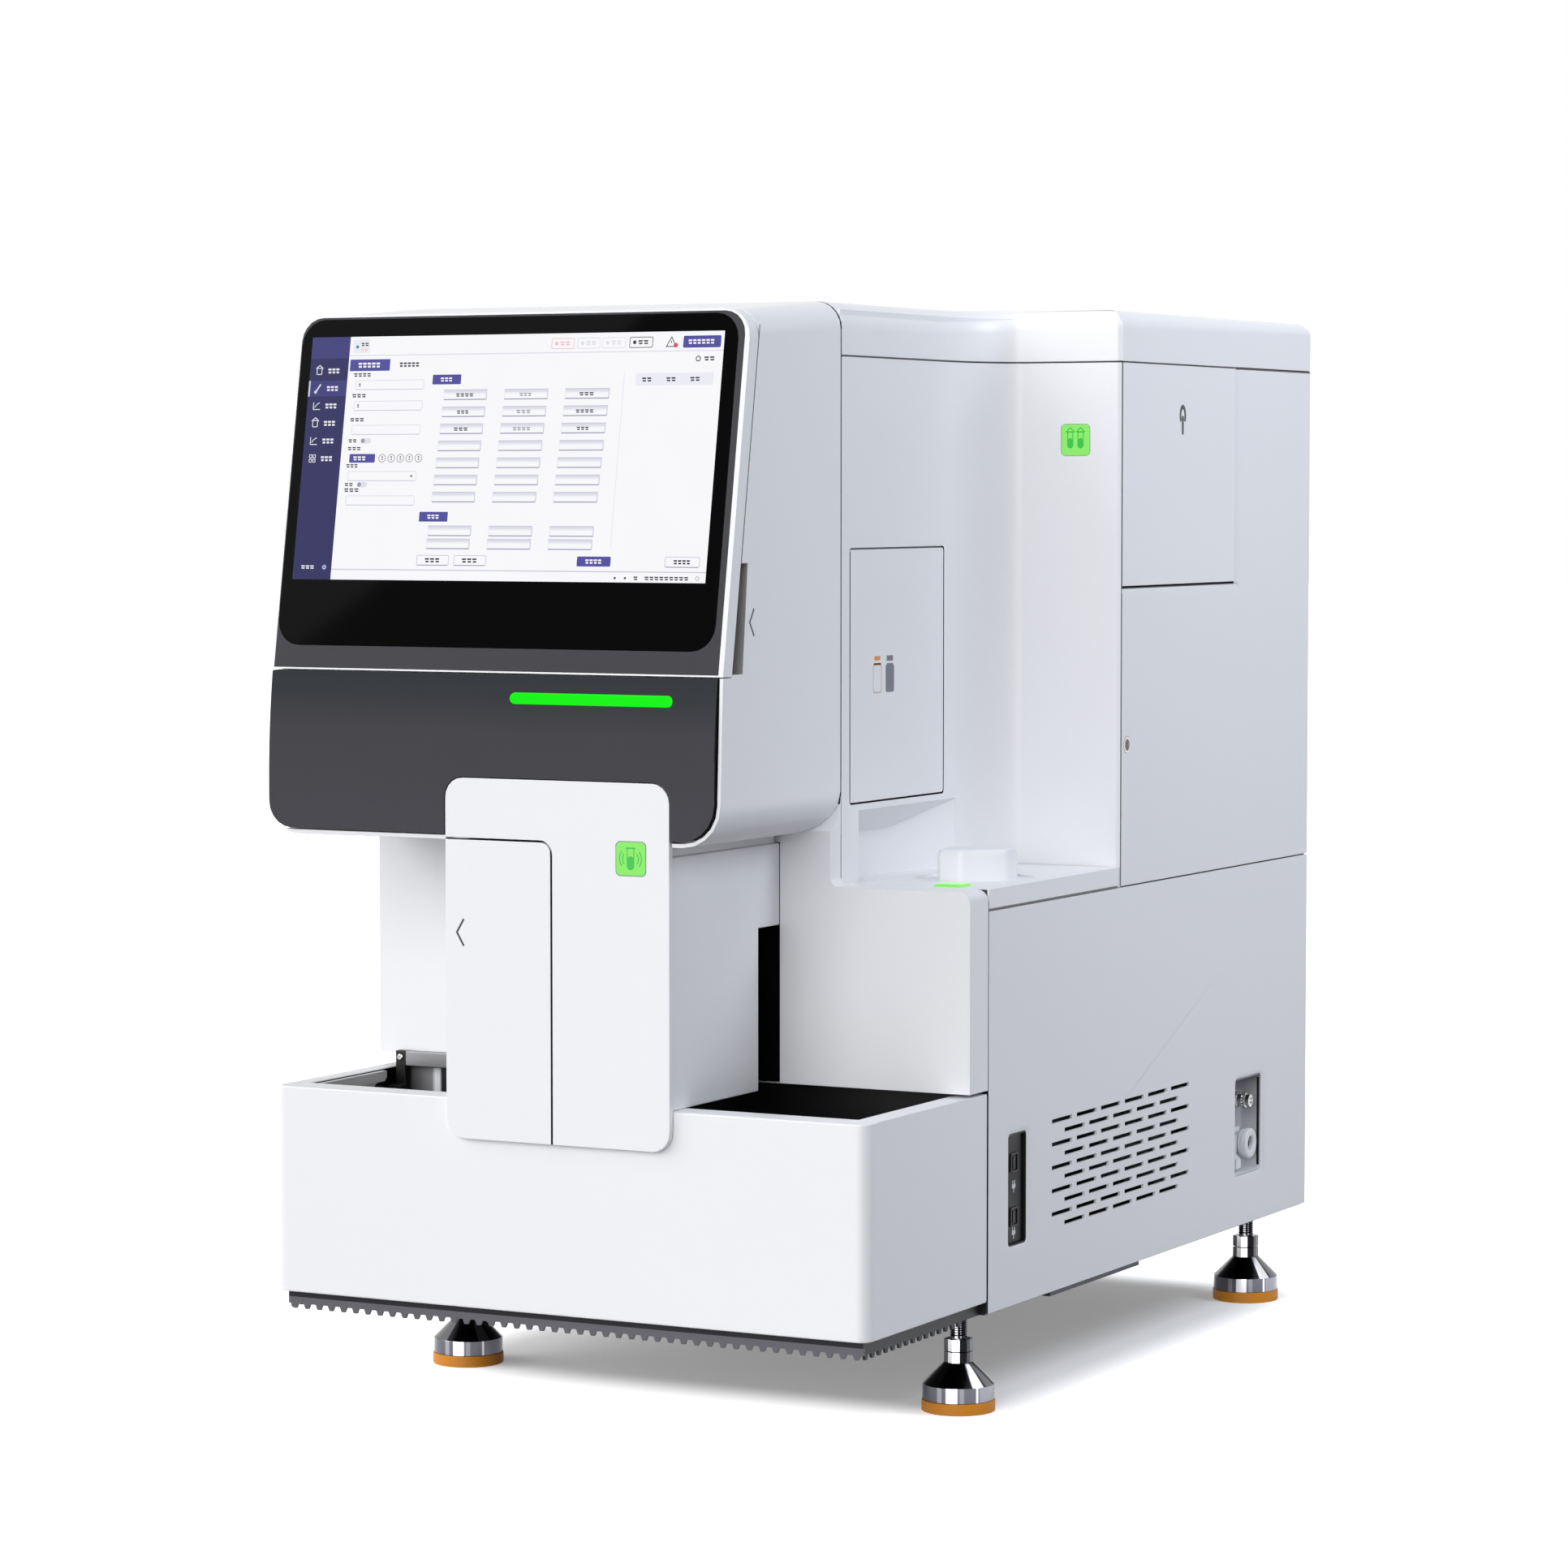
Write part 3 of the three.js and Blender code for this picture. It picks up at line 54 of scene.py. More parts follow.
PANEL_FRONT = -8.0
LIGHT_FACE = -8.6
SHELF_TOP = 538.0
BODY_BACK = 1140.0
WALL_FRONT = 597.0
RIGHT, LEFT, BACK, UP = (1, 0, 0), (-1, 0, 0), (0, 1, 0), (0, 0, 1)


def place(x, y, z):
    """The row-frame point of a place on the machine."""
    return Vector((x * MM, TRAY_FRONT + y * MM, z * MM))


# Camera, fitted to the photograph's straight edges
CAMERA_AT = (2416.1, -4125.7, 941.9)
CAMERA_YAW = math.radians(27.706)
CAMERA_PITCH = math.radians(3.5)
CAMERA_LENS = 111.06

camera = bpy.data.objects.new("camera", bpy.data.cameras.new("camera"))
bpy.context.scene.collection.objects.link(camera)
bpy.context.scene.camera = camera
camera.location = place(*CAMERA_AT)
camera.rotation_euler = (math.pi / 2 - CAMERA_PITCH, 0, CAMERA_YAW)
camera.data.sensor_width = 36
camera.data.lens = CAMERA_LENS

# Light: a soft key from the front left, a low one from the front, a soft box on the right, a cool surround
KEY = {"strength": 1.5, "angle": 47.5, "source": (-0.714, -0.507, 0.48), "colour": (1.0, 0.995, 0.985)}
LOW = {"strength": 2.05, "angle": 50, "source": (0.05, -0.96, 0.27), "colour": (1.0, 1.0, 1.0)}
SOFT_BOX = {"watts": 23.0, "size": 1000.0, "at": (1900, 1000, 2000), "aim": (0, 600, 600),
            "colour": (0.83, 0.885, 1.0)}
SURROUND = (0.245, 0.25, 0.265)
FLOOR_COLOUR = (0.95, 0.95, 0.95)
FLOOR_BOUNCE = (0.19, 0.19, 0.2)
FLOOR_LIFT = 0.24
FLOOR_SHADE = {"half_wide": 290.0, "half_deep": 380.0, "middle": 140.0, "fade": 125.0}
FLOOR_REACH = 40.0

bpy.context.scene.view_settings.view_transform = "Standard"


def hang(name, kind, energy, colour, source):
    """A light that shines from the given direction."""
    data = bpy.data.lights.new(name, kind)
    data.energy = energy
    data.color = colour
    made = bpy.data.objects.new(name, data)
    made.rotation_euler = source.to_track_quat("Z", "Y").to_euler()
    bpy.context.scene.collection.objects.link(made)
    return made


def sun(name, strength, angle, colour, source):
    hang(name, "SUN", strength, colour, Vector(source)).data.angle = math.radians(angle)


def soft_box(watts, size, at, aim, colour):
    """A square lamp that hangs beside the machine."""
    made = hang("soft_box", "AREA", watts, colour, place(*at) - place(*aim))
    made.location = place(*at)
    made.data.size = size * MM


sun("key", **KEY)
sun("low_key", **LOW)
soft_box(**SOFT_BOX)


# Node helpers: all but the first add nodes to a tree and return what comes out of them
def feed(tree, socket, value):
    """Gives a socket a constant or another node's output. A colour comes as three numbers."""
    if isinstance(value, bpy.types.NodeSocket):
        tree.links.new(value, socket)
    else:
        socket.default_value = (*value, 1) if isinstance(value, tuple) else value


def worked(tree, operation, *values):
    """A sum or a comparison of outputs and constants."""
    node = tree.nodes.new("ShaderNodeMath")
    node.operation = operation
    for socket, value in zip(node.inputs, values):
        feed(tree, socket, value)
    return node.outputs[0]


def mixed(tree, share, one, other, blend="MIX"):
    """A mix of two colours or colour outputs."""
    node = tree.nodes.new("ShaderNodeMix")
    node.data_type = "RGBA"
    node.blend_type = blend
    for name, value in (("Factor", share), ("A", one), ("B", other)):
        feed(tree, node.inputs[name], value)
    return node.outputs["Result"]


def run(tree, value, low=0.0, high=1.0, start=0.0, end=1.0, smooth=False):
    """Maps a value that goes from low to high to one that goes from start to end."""
    node = tree.nodes.new("ShaderNodeMapRange")
    node.interpolation_type = "SMOOTHSTEP" if smooth else "LINEAR"
    for name, level in (("From Min", low), ("From Max", high), ("To Min", start), ("To Max", end)):
        node.inputs[name].default_value = level
    tree.links.new(value, node.inputs["Value"])
    return node.outputs["Result"]


def parts_of(tree, vector):
    """The X, Y and Z of a vector output."""
    node = tree.nodes.new("ShaderNodeSeparateXYZ")
    tree.links.new(vector, node.inputs[0])
    return node.outputs


def coordinates(tree, kind):
    """The surface point, as Object or Generated coordinates."""
    return tree.nodes.new("ShaderNodeTexCoord").outputs[kind]


def moved(tree, vector, operation, other=None):
    """A vector output worked on by another vector."""
    node = tree.nodes.new("ShaderNodeVectorMath")
    node.operation = operation
    if other:
        node.inputs[1].default_value = other
    tree.links.new(vector, node.inputs[0])
    return node.outputs["Value" if operation == "LENGTH" else "Vector"]


def noise(tree, size, detail):
    """Noise over the object's own coordinates. The size is in millimetres."""
    node = tree.nodes.new("ShaderNodeTexNoise")
    node.inputs["Scale"].default_value = 1 / (size * MM)
    node.inputs["Detail"].default_value = detail
    tree.links.new(coordinates(tree, "Object"), node.inputs["Vector"])
    return node.outputs["Fac"]


def ramp(tree, value, stops, hard=False):
    """A colour that runs through stops of (share, colour) as the value goes from 0 to 1."""
    node = tree.nodes.new("ShaderNodeValToRGB")
    node.color_ramp.interpolation = "CONSTANT" if hard else "LINEAR"
    while len(node.color_ramp.elements) < len(stops):
        node.color_ramp.elements.new(1)
    for element, (share, colour) in zip(node.color_ramp.elements, stops):
        element.position = share
        element.color = (*colour, 1)
    tree.links.new(value, node.inputs["Fac"])
    return node.outputs["Color"]


def seen_directly(tree):
    """1 for what the camera, a mirror or glass sees, and 0 for the light that falls on things."""
    path = tree.nodes.new("ShaderNodeLightPath").outputs
    either = worked(tree, "MAXIMUM", path["Is Camera Ray"], path["Is Glossy Ray"])
    return worked(tree, "MAXIMUM", either, path["Is Transmission Ray"])


def light_surround():
    """A cool grey surround that looks white."""
    world = bpy.data.worlds.new("surround")
    world.use_nodes = True
    bpy.context.scene.world = world
    tree = world.node_tree
    lit = tree.nodes["Background"]
    lit.inputs["Color"].default_value = (*SURROUND, 1)
    shown = tree.nodes.new("ShaderNodeBackground")
    shown.inputs["Color"].default_value = (1, 1, 1, 1)
    mix = tree.nodes.new("ShaderNodeMixShader")
    for socket, output in zip(mix.inputs, (seen_directly(tree), lit.outputs[0], shown.outputs[0])):
        tree.links.new(output, socket)
    tree.links.new(mix.outputs[0], tree.nodes["World Output"].inputs["Surface"])


def floor_finish():
    """A matte white that gives back little light, and glows fully only away from the machine."""
    material = bpy.data.materials.new("floor")
    material.use_nodes = True
    tree = material.node_tree
    matte = tree.nodes["Principled BSDF"]
    seen = seen_directly(tree)
    tree.links.new(mixed(tree, seen, FLOOR_BOUNCE, FLOOR_COLOUR), matte.inputs["Base Color"])
    matte.inputs["Roughness"].default_value = 0.9
    matte.inputs["Specular IOR Level"].default_value = 0
    value = moved(tree, coordinates(tree, "Object"), "SUBTRACT", (0, FLOOR_SHADE["middle"] * MM, 0))
    value = moved(tree, value, "ABSOLUTE")
    half = (FLOOR_SHADE["half_wide"] * MM, FLOOR_SHADE["half_deep"] * MM, 0)
    value = moved(tree, moved(tree, value, "SUBTRACT", half), "MAXIMUM", (0, 0, 0))
    away = moved(tree, value, "LENGTH")
    lift = run(tree, away, 0, FLOOR_SHADE["fade"] * MM, FLOOR_LIFT, 1, smooth=True)
    glow = tree.nodes.new("ShaderNodeEmission")
    tree.links.new(worked(tree, "MULTIPLY", seen, lift), glow.inputs["Strength"])
    both = tree.nodes.new("ShaderNodeAddShader")
    tree.links.new(matte.outputs[0], both.inputs[0])
    tree.links.new(glow.outputs[0], both.inputs[1])
    tree.links.new(both.outputs[0], tree.nodes["Material Output"].inputs["Surface"])
    return material


def lay_floor():
    """A wide floor that looks white where nothing shades it."""
    shape = bmesh.new()
    corners = [(-1, -1), (1, -1), (1, 1), (-1, 1)]
    shape.faces.new([shape.verts.new((x * FLOOR_REACH, y * FLOOR_REACH, 0)) for x, y in corners])
    mesh = bpy.data.meshes.new("floor")
    shape.to_mesh(mesh)
    shape.free()
    mesh.materials.append(floor_finish())
    floor = bpy.data.objects.new("floor", mesh)
    bpy.context.scene.collection.objects.link(floor)


light_surround()
lay_floor()


# Finishes: every one is built from nodes that read the object's own coordinates
def dimmed(colour, share):
    return tuple(level * share for level in colour)


def finish(name, colour, roughness, metallic=0.0, mottle=0.03, grain=0.05, grain_size=0.8, cloud=60.0,
           **sockets):
    """A surface with clouds of slightly other tone and gloss, and a fine grain. Sizes are in millimetres."""
    material = bpy.data.materials.new(name)
    material.use_nodes = True
    tree = material.node_tree
    clouds = noise(tree, cloud, 3)
    given = {socket.replace("_", " "): value for socket, value in sockets.items()}
    given["Metallic"] = metallic
    given["Base Color"] = mixed(tree, clouds, dimmed(colour, 1 - mottle), colour)
    given["Roughness"] = run(tree, clouds, 0, 1, roughness * (1 - mottle * 2), roughness * (1 + mottle * 2))
    if grain:
        relief = tree.nodes.new("ShaderNodeBump")
        relief.inputs["Strength"].default_value = grain
        relief.inputs["Distance"].default_value = grain_size * MM / 4
        tree.links.new(noise(tree, grain_size, 2), relief.inputs["Height"])
        given["Normal"] = relief.outputs["Normal"]
    for socket, value in given.items():
        feed(tree, tree.nodes["Principled BSDF"].inputs[socket], value)
    return material


def base_colour(tree):
    """The socket that takes the surface's colour, and the output that feeds it now."""
    socket = tree.nodes["Principled BSDF"].inputs["Base Color"]
    return socket, socket.links[0].from_socket


def tint(material, make_colour):
    """Multiplies a finish's mottled tone by a colour built in its node tree."""
    tree = material.node_tree
    socket, tone = base_colour(tree)
    tree.links.new(mixed(tree, 1.0, tone, make_colour(tree), "MULTIPLY"), socket)
    return material


def graded(material, axis, stops):
    """Lets a finish change along an axis of the machine: stops of (millimetres, colour)."""
    low, high = stops[0][0], stops[-1][0]
    shares = [((level - low) / (high - low), colour) for level, colour in stops]
    shift = TRAY_FRONT if axis == "Y" else 0

    def colour(tree):
        along = parts_of(tree, coordinates(tree, "Object"))[axis]
        return ramp(tree, run(tree, along, shift + low * MM, shift + high * MM), shares)

    return tint(material, colour)


def patched(material, colour, *boxes):
    """Gives the parts of a finish inside some boxes of the machine another colour."""
    tree = material.node_tree
    at = parts_of(tree, coordinates(tree, "Object"))
    mask = None
    for low, high in boxes:
        x, y, z = (worked(tree, "COMPARE", at[axis], (a + b) / 2, (b - a) / 2)
                   for axis, a, b in zip("XYZ", place(*low), place(*high)))
        within = worked(tree, "MULTIPLY", worked(tree, "MULTIPLY", x, y), z)
        mask = worked(tree, "MAXIMUM", mask, within) if mask else within
    socket, tone = base_colour(tree)
    tree.links.new(mixed(tree, mask, tone, colour), socket)
    return material


# A foot's turned steel, with painted reflections: bands are (first degree, last degree, tone), zones start at a
# share of its height
REFLECTION_SOFT = 0.004
RING_REFLECTIONS = ((-100, -93, (0.3, 0.3, 0.33)), (-84, -67, (0.95, 0.95, 0.97)), (-62, -56, (0.24, 0.24, 0.27)),
                (-34, -32, (0.75, 0.75, 0.78)), (-28, 40, (0.26, 0.26, 0.29)))
CONE_REFLECTIONS = ((-150, -99, (0.17, 0.17, 0.18)), (-40, -20, (0.8, 0.8, 0.84)), (-14, 30, (0.16, 0.16, 0.18)))
STUD_REFLECTIONS = ((-92, -72, (0.85, 0.85, 0.86)), (-50, -44, (0.4, 0.4, 0.42)))
THREAD_REFLECTIONS = ((-92, -70, (0.9, 0.9, 0.92)), (-52, -45, (0.45, 0.45, 0.47)))
NUT_REFLECTIONS = ((0.1, 0.1, 0.11), (0.93, 0.93, 0.94), (0.01, 0.01, 0.012), (0.1, 0.1, 0.11), (0.5, 0.5, 0.52),
             (0.02, 0.02, 0.03))
CONE_FROM, NUT_FROM, STUD_FROM = 0.185, 0.418, 0.68


def turn_share(tree):
    """The direction from an object's own upright axis, as a share of a full turn that starts opposite to X."""
    away = parts_of(tree, moved(tree, coordinates(tree, "Generated"), "SUBTRACT", (0.5, 0.5, 0.5)))
    return run(tree, worked(tree, "ARCTAN2", away["Y"], away["X"]), -math.pi, math.pi)


def reflection_bands(bands, ground):
    """Stops around a full turn: painted reflection bands on a ground colour, with soft sides."""
    stops = [(0, ground)]
    for first, last, colour in bands:
        start, end = (first + 180) / 360, (last + 180) / 360
        stops += [(start - REFLECTION_SOFT, ground), (start, colour), (end, colour), (end + REFLECTION_SOFT, ground)]
    return stops


def turned_metal(name, roughness, make_colour):
    """Polished steel with painted reflections, in a colour that is built from the direction around the axis."""
    material = finish(name, (1, 1, 1), roughness, metallic=1.0, mottle=0.05, grain=0.02, cloud=25)
    return tint(material, lambda tree: make_colour(tree, turn_share(tree)))


def foot_reflections(tree, around):
    """Painted reflections on the zones of a foot from the pad up: ring, cone, nuts and stud."""
    level = parts_of(tree, coordinates(tree, "Generated"))["Z"]
    tone = ramp(tree, around, reflection_bands(RING_REFLECTIONS, (0.12, 0.12, 0.14)))
    nut_stops = [(k / len(NUT_REFLECTIONS), colour) for k, colour in enumerate(NUT_REFLECTIONS)]
    for start, stops, hard in ((CONE_FROM, reflection_bands(CONE_REFLECTIONS, (0.022, 0.022, 0.026)), False),
                               (NUT_FROM, nut_stops, True),
                               (STUD_FROM, reflection_bands(STUD_REFLECTIONS, (0.02, 0.02, 0.024)), False)):
        above = worked(tree, "GREATER_THAN", level, start)
        tone = mixed(tree, above, tone, ramp(tree, around, stops, hard))
    return tone


# Painted reflections on a stud's thread, as bands around its axis
def thread_reflections(tree, around):
    return ramp(tree, around, reflection_bands(THREAD_REFLECTIONS, (0.03, 0.03, 0.034)))


GLOW_DIP = 0.96


def glowing(name, colour, strength, body=0.4, roughness=0.2, **sockets):
    """A lit surface: it gives its own light, a little uneven, under a smooth skin."""
    material = finish(name, dimmed(colour, body), roughness, grain=0, **sockets)
    tree = material.node_tree
    shader = tree.nodes["Principled BSDF"]
    shader.inputs["Emission Strength"].default_value = strength
    clouds = tree.nodes["Noise Texture"].outputs["Fac"]
    tree.links.new(mixed(tree, clouds, dimmed(colour, GLOW_DIP), colour), shader.inputs["Emission Color"])
    return material


def ink(name, colour):
    """A matte printed colour."""
    return finish(name, colour, 0.5, mottle=0.05, grain=0)


WHITE = (0.86, 0.865, 0.885)
BAY_BLACK = (0.003, 0.003, 0.0034)
# Painted shade for the insides of the gaps between the covers
GAP_SHADE_BLACK = (0.012, 0.012, 0.014)
# Painted shade in the hollow beside the screen
SCOOP_SHADE_GREY = (0.36, 0.355, 0.35)

# Painted shade in the gaps between the covers: each box paints the faces of a gap dark
LID_SEAM = ((300, 272.0, 515.9), (338.7, 597, 518.8))
PANEL_SEAM = ((330, 269.2, 100), (339.8, 273.4, 526))
DOOR_SEAMS = (((330, 600.3, 517), (339.85, 602.7, 1076)), ((330, 601, 834.6), (339.9, 917, 837.9)),
              ((330, 913.6, 836), (340.1, 916.8, 1076)), ((330, 914, 1074.3), (340.1, 1141, 1077.1)))
BOTTLE_DOOR_SEAMS = (((176, 270.4, 618), (182.55, 273.2, 881.6)), ((176, 490.0, 618), (182.55, 492.8, 881.6)),
                     ((176, 270.4, 618), (182.55, 492.8, 620.5)), ((176, 270.4, 879.1), (182.55, 492.8, 881.6)))
COLUMN_SEAMS = (((-8.0, -7.8, 290), (-4.9, 0.5, 593.4)), ((-130, -7.8, 591.5), (-4.9, 0.5, 593.5)))
COVER_SEAMS = (((170, 250.2, 539.4), (182.5, 254.2, 1103)), ((-341, 250.9, 1103), (182.69, 253.5, 1132)),
               ((-341, 252, 1075.02), (341, 1141, 1076.38)), ((184, 271.8, 530), (338, 273.2, 537.8)),
               LID_SEAM, PANEL_SEAM, *DOOR_SEAMS, *BOTTLE_DOOR_SEAMS, *COLUMN_SEAMS)

# Other patches: painted shade in the hollow beside the screen, the inside of the tray, painted shade on the
# charcoal panel's edges, the teeth and runners of the base, and the pusher's shaded end
SCOOP = ((160, 20.5, 758), (182.2, 80, 871))
TRAY_INSIDE = ((-320.8, 33.2, 120), (312.8, 262.3, 329.6))
# Painted shade: the charcoal panel's side walls are painted near black
PANEL_EDGE_SHADE = (((-341, -7.2, 590), (178, 7, 640)), ((176.3, -7.2, 640), (178, 7, 760)))
BASE_TEETH = ((-340, 0, 80), (340, 12.6, 112))
BASE_RUNNERS = ((-340, 300, 80), (340, 1140, 104.6))
PUSHER_END = ((-330, 0, 290), (-299, 300, 360))

# How some finishes change along the machine: (millimetres, colour)
# A painted sheen: the charcoal panel is lighter towards its bottom
CHARCOAL_SHEEN_TONES = ((597, (0.05, 0.048, 0.057)), (700, (0.038, 0.037, 0.044)), (735, (0.014, 0.017, 0.022)),
                  (757, (0.008, 0.012, 0.017)))
BACK_PLATE_TONES = ((-304, (0.05, 0.048, 0.048)), (-290, (0.12, 0.115, 0.12)), (-274, (0.26, 0.26, 0.27)),
                    (-270, (0.85, 0.87, 0.9)), (-265, (0.85, 0.87, 0.9)), (-262, (0.01, 0.01, 0.012)),
                    (-150, (0.004, 0.004, 0.005)))
# Painted shade: the connector recess is darker towards its top
RECESS_SHADE_TONES = ((163, (0.8, 0.81, 0.84)), (210, (0.62, 0.62, 0.65)), (262, (0.44, 0.44, 0.47)),
                (274, (0.22, 0.22, 0.24)))

FINISHES = {
    # The white finishes carry painted shade in the gaps between the covers, and the cover's also in the hollow
    # beside the screen
    "cover": patched(patched(finish("cover_plastic", WHITE, 0.34, mottle=0.012, grain=0.04, cloud=220),
                             SCOOP_SHADE_GREY, SCOOP), GAP_SHADE_BLACK, *COVER_SEAMS),
    "tray": patched(patched(finish("tray_plastic", WHITE, 0.36, mottle=0.012, grain=0.04, cloud=220),
                            BAY_BLACK, TRAY_INSIDE), GAP_SHADE_BLACK, PANEL_SEAM),
    "powder": patched(finish("cover_metal", WHITE, 0.42, mottle=0.015, grain=0.09, grain_size=1.2, cloud=180),
                      GAP_SHADE_BLACK, PANEL_SEAM, *DOOR_SEAMS),
    # The charcoal panel: a painted sheen down its face and painted shade on its side walls
    "charcoal": patched(graded(finish("charcoal_plastic", (1, 1, 1), 0.4, mottle=0.05, Specular_IOR_Level=0.16),
                               "Z", CHARCOAL_SHEEN_TONES), (0.003, 0.003, 0.0035), *PANEL_EDGE_SHADE),
    "dark_case": finish("dark_case", (0.042, 0.043, 0.05), 0.4, mottle=0.05),
    "bezel": finish("bezel_metal", (0.03, 0.029, 0.036), 0.36, mottle=0.06, grain=0.04, Specular_IOR_Level=0.2),
    "glass": finish("screen_glass", (0.0018, 0.0018, 0.002), 0.03, mottle=0.2, grain=0, cloud=120, IOR=1.45,
                    Specular_IOR_Level=0.03),
    "status": glowing("status_green", (0.3, 0.95, 0.17), 0.8, body=0.1, Specular_IOR_Level=0.2),
    "bar": glowing("bar_green", (0.002, 0.9, 0.002), 1.0, body=0.02, Specular_IOR_Level=0.1),
    "base": patched(patched(finish("base_metal", (0.012, 0.012, 0.014), 0.45, metallic=0.3, grain=0.1,
                                   Specular_IOR_Level=0.2),
                            (0.1, 0.098, 0.11), BASE_TEETH), (0.035, 0.037, 0.052), BASE_RUNNERS),
    "rubber": finish("foot_rubber", (0.82, 0.3, 0.012), 0.5, mottle=0.1, grain=0.15, cloud=25),
    # Feet and threads: polished steel with painted reflections
    "steel": turned_metal("foot_steel", 0.2, foot_reflections),
    "thread": turned_metal("thread_steel", 0.25, thread_reflections),
    "deck": finish("deck_black", BAY_BLACK, 0.4, mottle=0.2, grain=0.03, Specular_IOR_Level=0.1),
    "black": finish("black_plastic", (0.006, 0.006, 0.008), 0.45, mottle=0.15, grain=0.06,
                    Specular_IOR_Level=0.2),
    "alloy": finish("plain_alloy", (0.6, 0.61, 0.63), 0.38, metallic=1.0, mottle=0.06),
    "pusher": patched(finish("pusher_steel", (0.26, 0.26, 0.27), 0.4, metallic=1.0, mottle=0.06, grain=0.04,
                             cloud=30), (0.03, 0.029, 0.028), PUSHER_END),
    "back_plate": graded(finish("bay_back_plate", (1, 1, 1), 0.35, metallic=0.2, mottle=0.06, grain=0.04),
                         "X", BACK_PLATE_TONES),
    "rail_grey": finish("rail_grey", (0.6, 0.6, 0.61), 0.4, mottle=0.05),
    "liner": finish("liner_plastic", (0.62, 0.64, 0.68), 0.4, grain=0.06),
    # The connector recess: painted shade, darker towards the top of the recess
    "recess": graded(finish("recess_plastic", (1, 1, 1), 0.4, grain=0.06), "Z", RECESS_SHADE_TONES),
    "pump": finish("pump_grey", (0.14, 0.15, 0.17), 0.4, metallic=0.3, mottle=0.05, grain=0.08),
    "case": finish("supply_case", (0.45, 0.46, 0.48), 0.42, metallic=0.9, mottle=0.06, grain=0.08),
    "amber": finish("bottle_amber", (0.3, 0.09, 0.012), 0.12, mottle=0.08, grain=0.02),
    "grey_bottle": finish("bottle_grey", (0.16, 0.17, 0.19), 0.25, mottle=0.05, grain=0.03),
    "label": finish("label_paper", (0.84, 0.84, 0.8), 0.6, grain=0.1),
    "chrome": finish("connector_chrome", (0.44, 0.44, 0.44), 0.16, metallic=1.0, mottle=0.1, grain=0.02,
                     cloud=9),
    "lock": finish("lock_steel", (0.1, 0.1, 0.105), 0.3, metallic=1.0, mottle=0.08, grain=0.02, cloud=9),
    "nylon": finish("connector_white", (0.82, 0.83, 0.84), 0.36, cloud=15),
    "mark": ink("mark_ink", (0.02, 0.022, 0.026)),
    "mark_grey": ink("mark_grey", (0.16, 0.17, 0.2)),
    "mark_beige": ink("mark_beige", (0.68, 0.5, 0.4)),
    "mark_orange": ink("mark_orange", (0.8, 0.3, 0.05)),
    "mark_white": ink("mark_white", (0.7, 0.71, 0.74)),
    "mark_green": glowing("mark_green", (0.03, 0.6, 0.06), 0.8, body=0.1),
    "brass": finish("contact_gold", (0.8, 0.6, 0.25), 0.25, metallic=1.0, mottle=0.05, grain=0),
}

# Which finish, and how wide an eased edge in millimetres, each CAD node gets
LOOKS = {
    "tray": {"sample_tray": 2.5},
    "cover": {"column_shell": 1.5, "column_front_panel": 2.0, "column_door": 1.2, "screen_shell": 1.6,
              "head_shell": 1.2, "left_front_wall": 1.2, "front_cover_right": 2.0, "upper_side_shell": 1.2,
              "bottle_door": 1.0, "top_cap": 1.5, "reagent_lid": 2.0, "push_door": 0.8},
    "powder": {"side_door": 0.8, "side_panel_right": 0.5, "side_panel_left": 0.8, "rear_panel": 0.8},
    "charcoal": {"lower_front_panel": 1.5},
    "bezel": {"screen_bezel": 0.8},
    "glass": {"screen_glass": 0.4},
    "status": {"status_light_column": 0.6, "status_light_upper": 0.6, "status_light_lid": 0.4},
    "bar": {"light_bar": 1.0},
    "base": {"base_pan": 0.8},
    "rubber": {f"foot_pad_{number}": 1.5 for number in range(1, 5)},
    "steel": {f"foot_stud_{number}": 0.8 for number in range(1, 5)},
    "deck": {"sample_deck": 0.8, "front_bulkhead": 0.5},
    "black": {"port_bay": 0.6, "fan_frame": 0.8, "fan_rotor": 0.4, "mains_inlet": 0.8},
    "pusher": {"rack_pusher": 1.2},
    "liner": {"bottle_bay": 1.0, "cuvette_hopper": 1.0, "reagent_carousel": 1.0, "wash_bottle": 1.5},
    "recess": {"connector_bay": 0.6},
    "amber": {"bottle_a": 1.5},
    "grey_bottle": {"bottle_b": 1.5, "mains_switch": 0.4},
    "chrome": {"metal_connector": 0.5},
    "lock": {"side_door_lock": 0.5},
    "nylon": {"ring_connector": 0.8},
    "alloy": {"mid_deck": 0.5, "reagent_tub": 0.8, "gantry_beam": 0.8, "probe_arm": 0.4},
    "dark_case": {"luminometer": 1.2, "probe_carriage": 1.0},
    "pump": {"vacuum_pump": 2.0, "incubator_ring": 0.8},
    "case": {"power_supply": 1.2},
}
SMOOTH_ANGLE = math.radians(32)
EASE_ANGLE = math.radians(38)


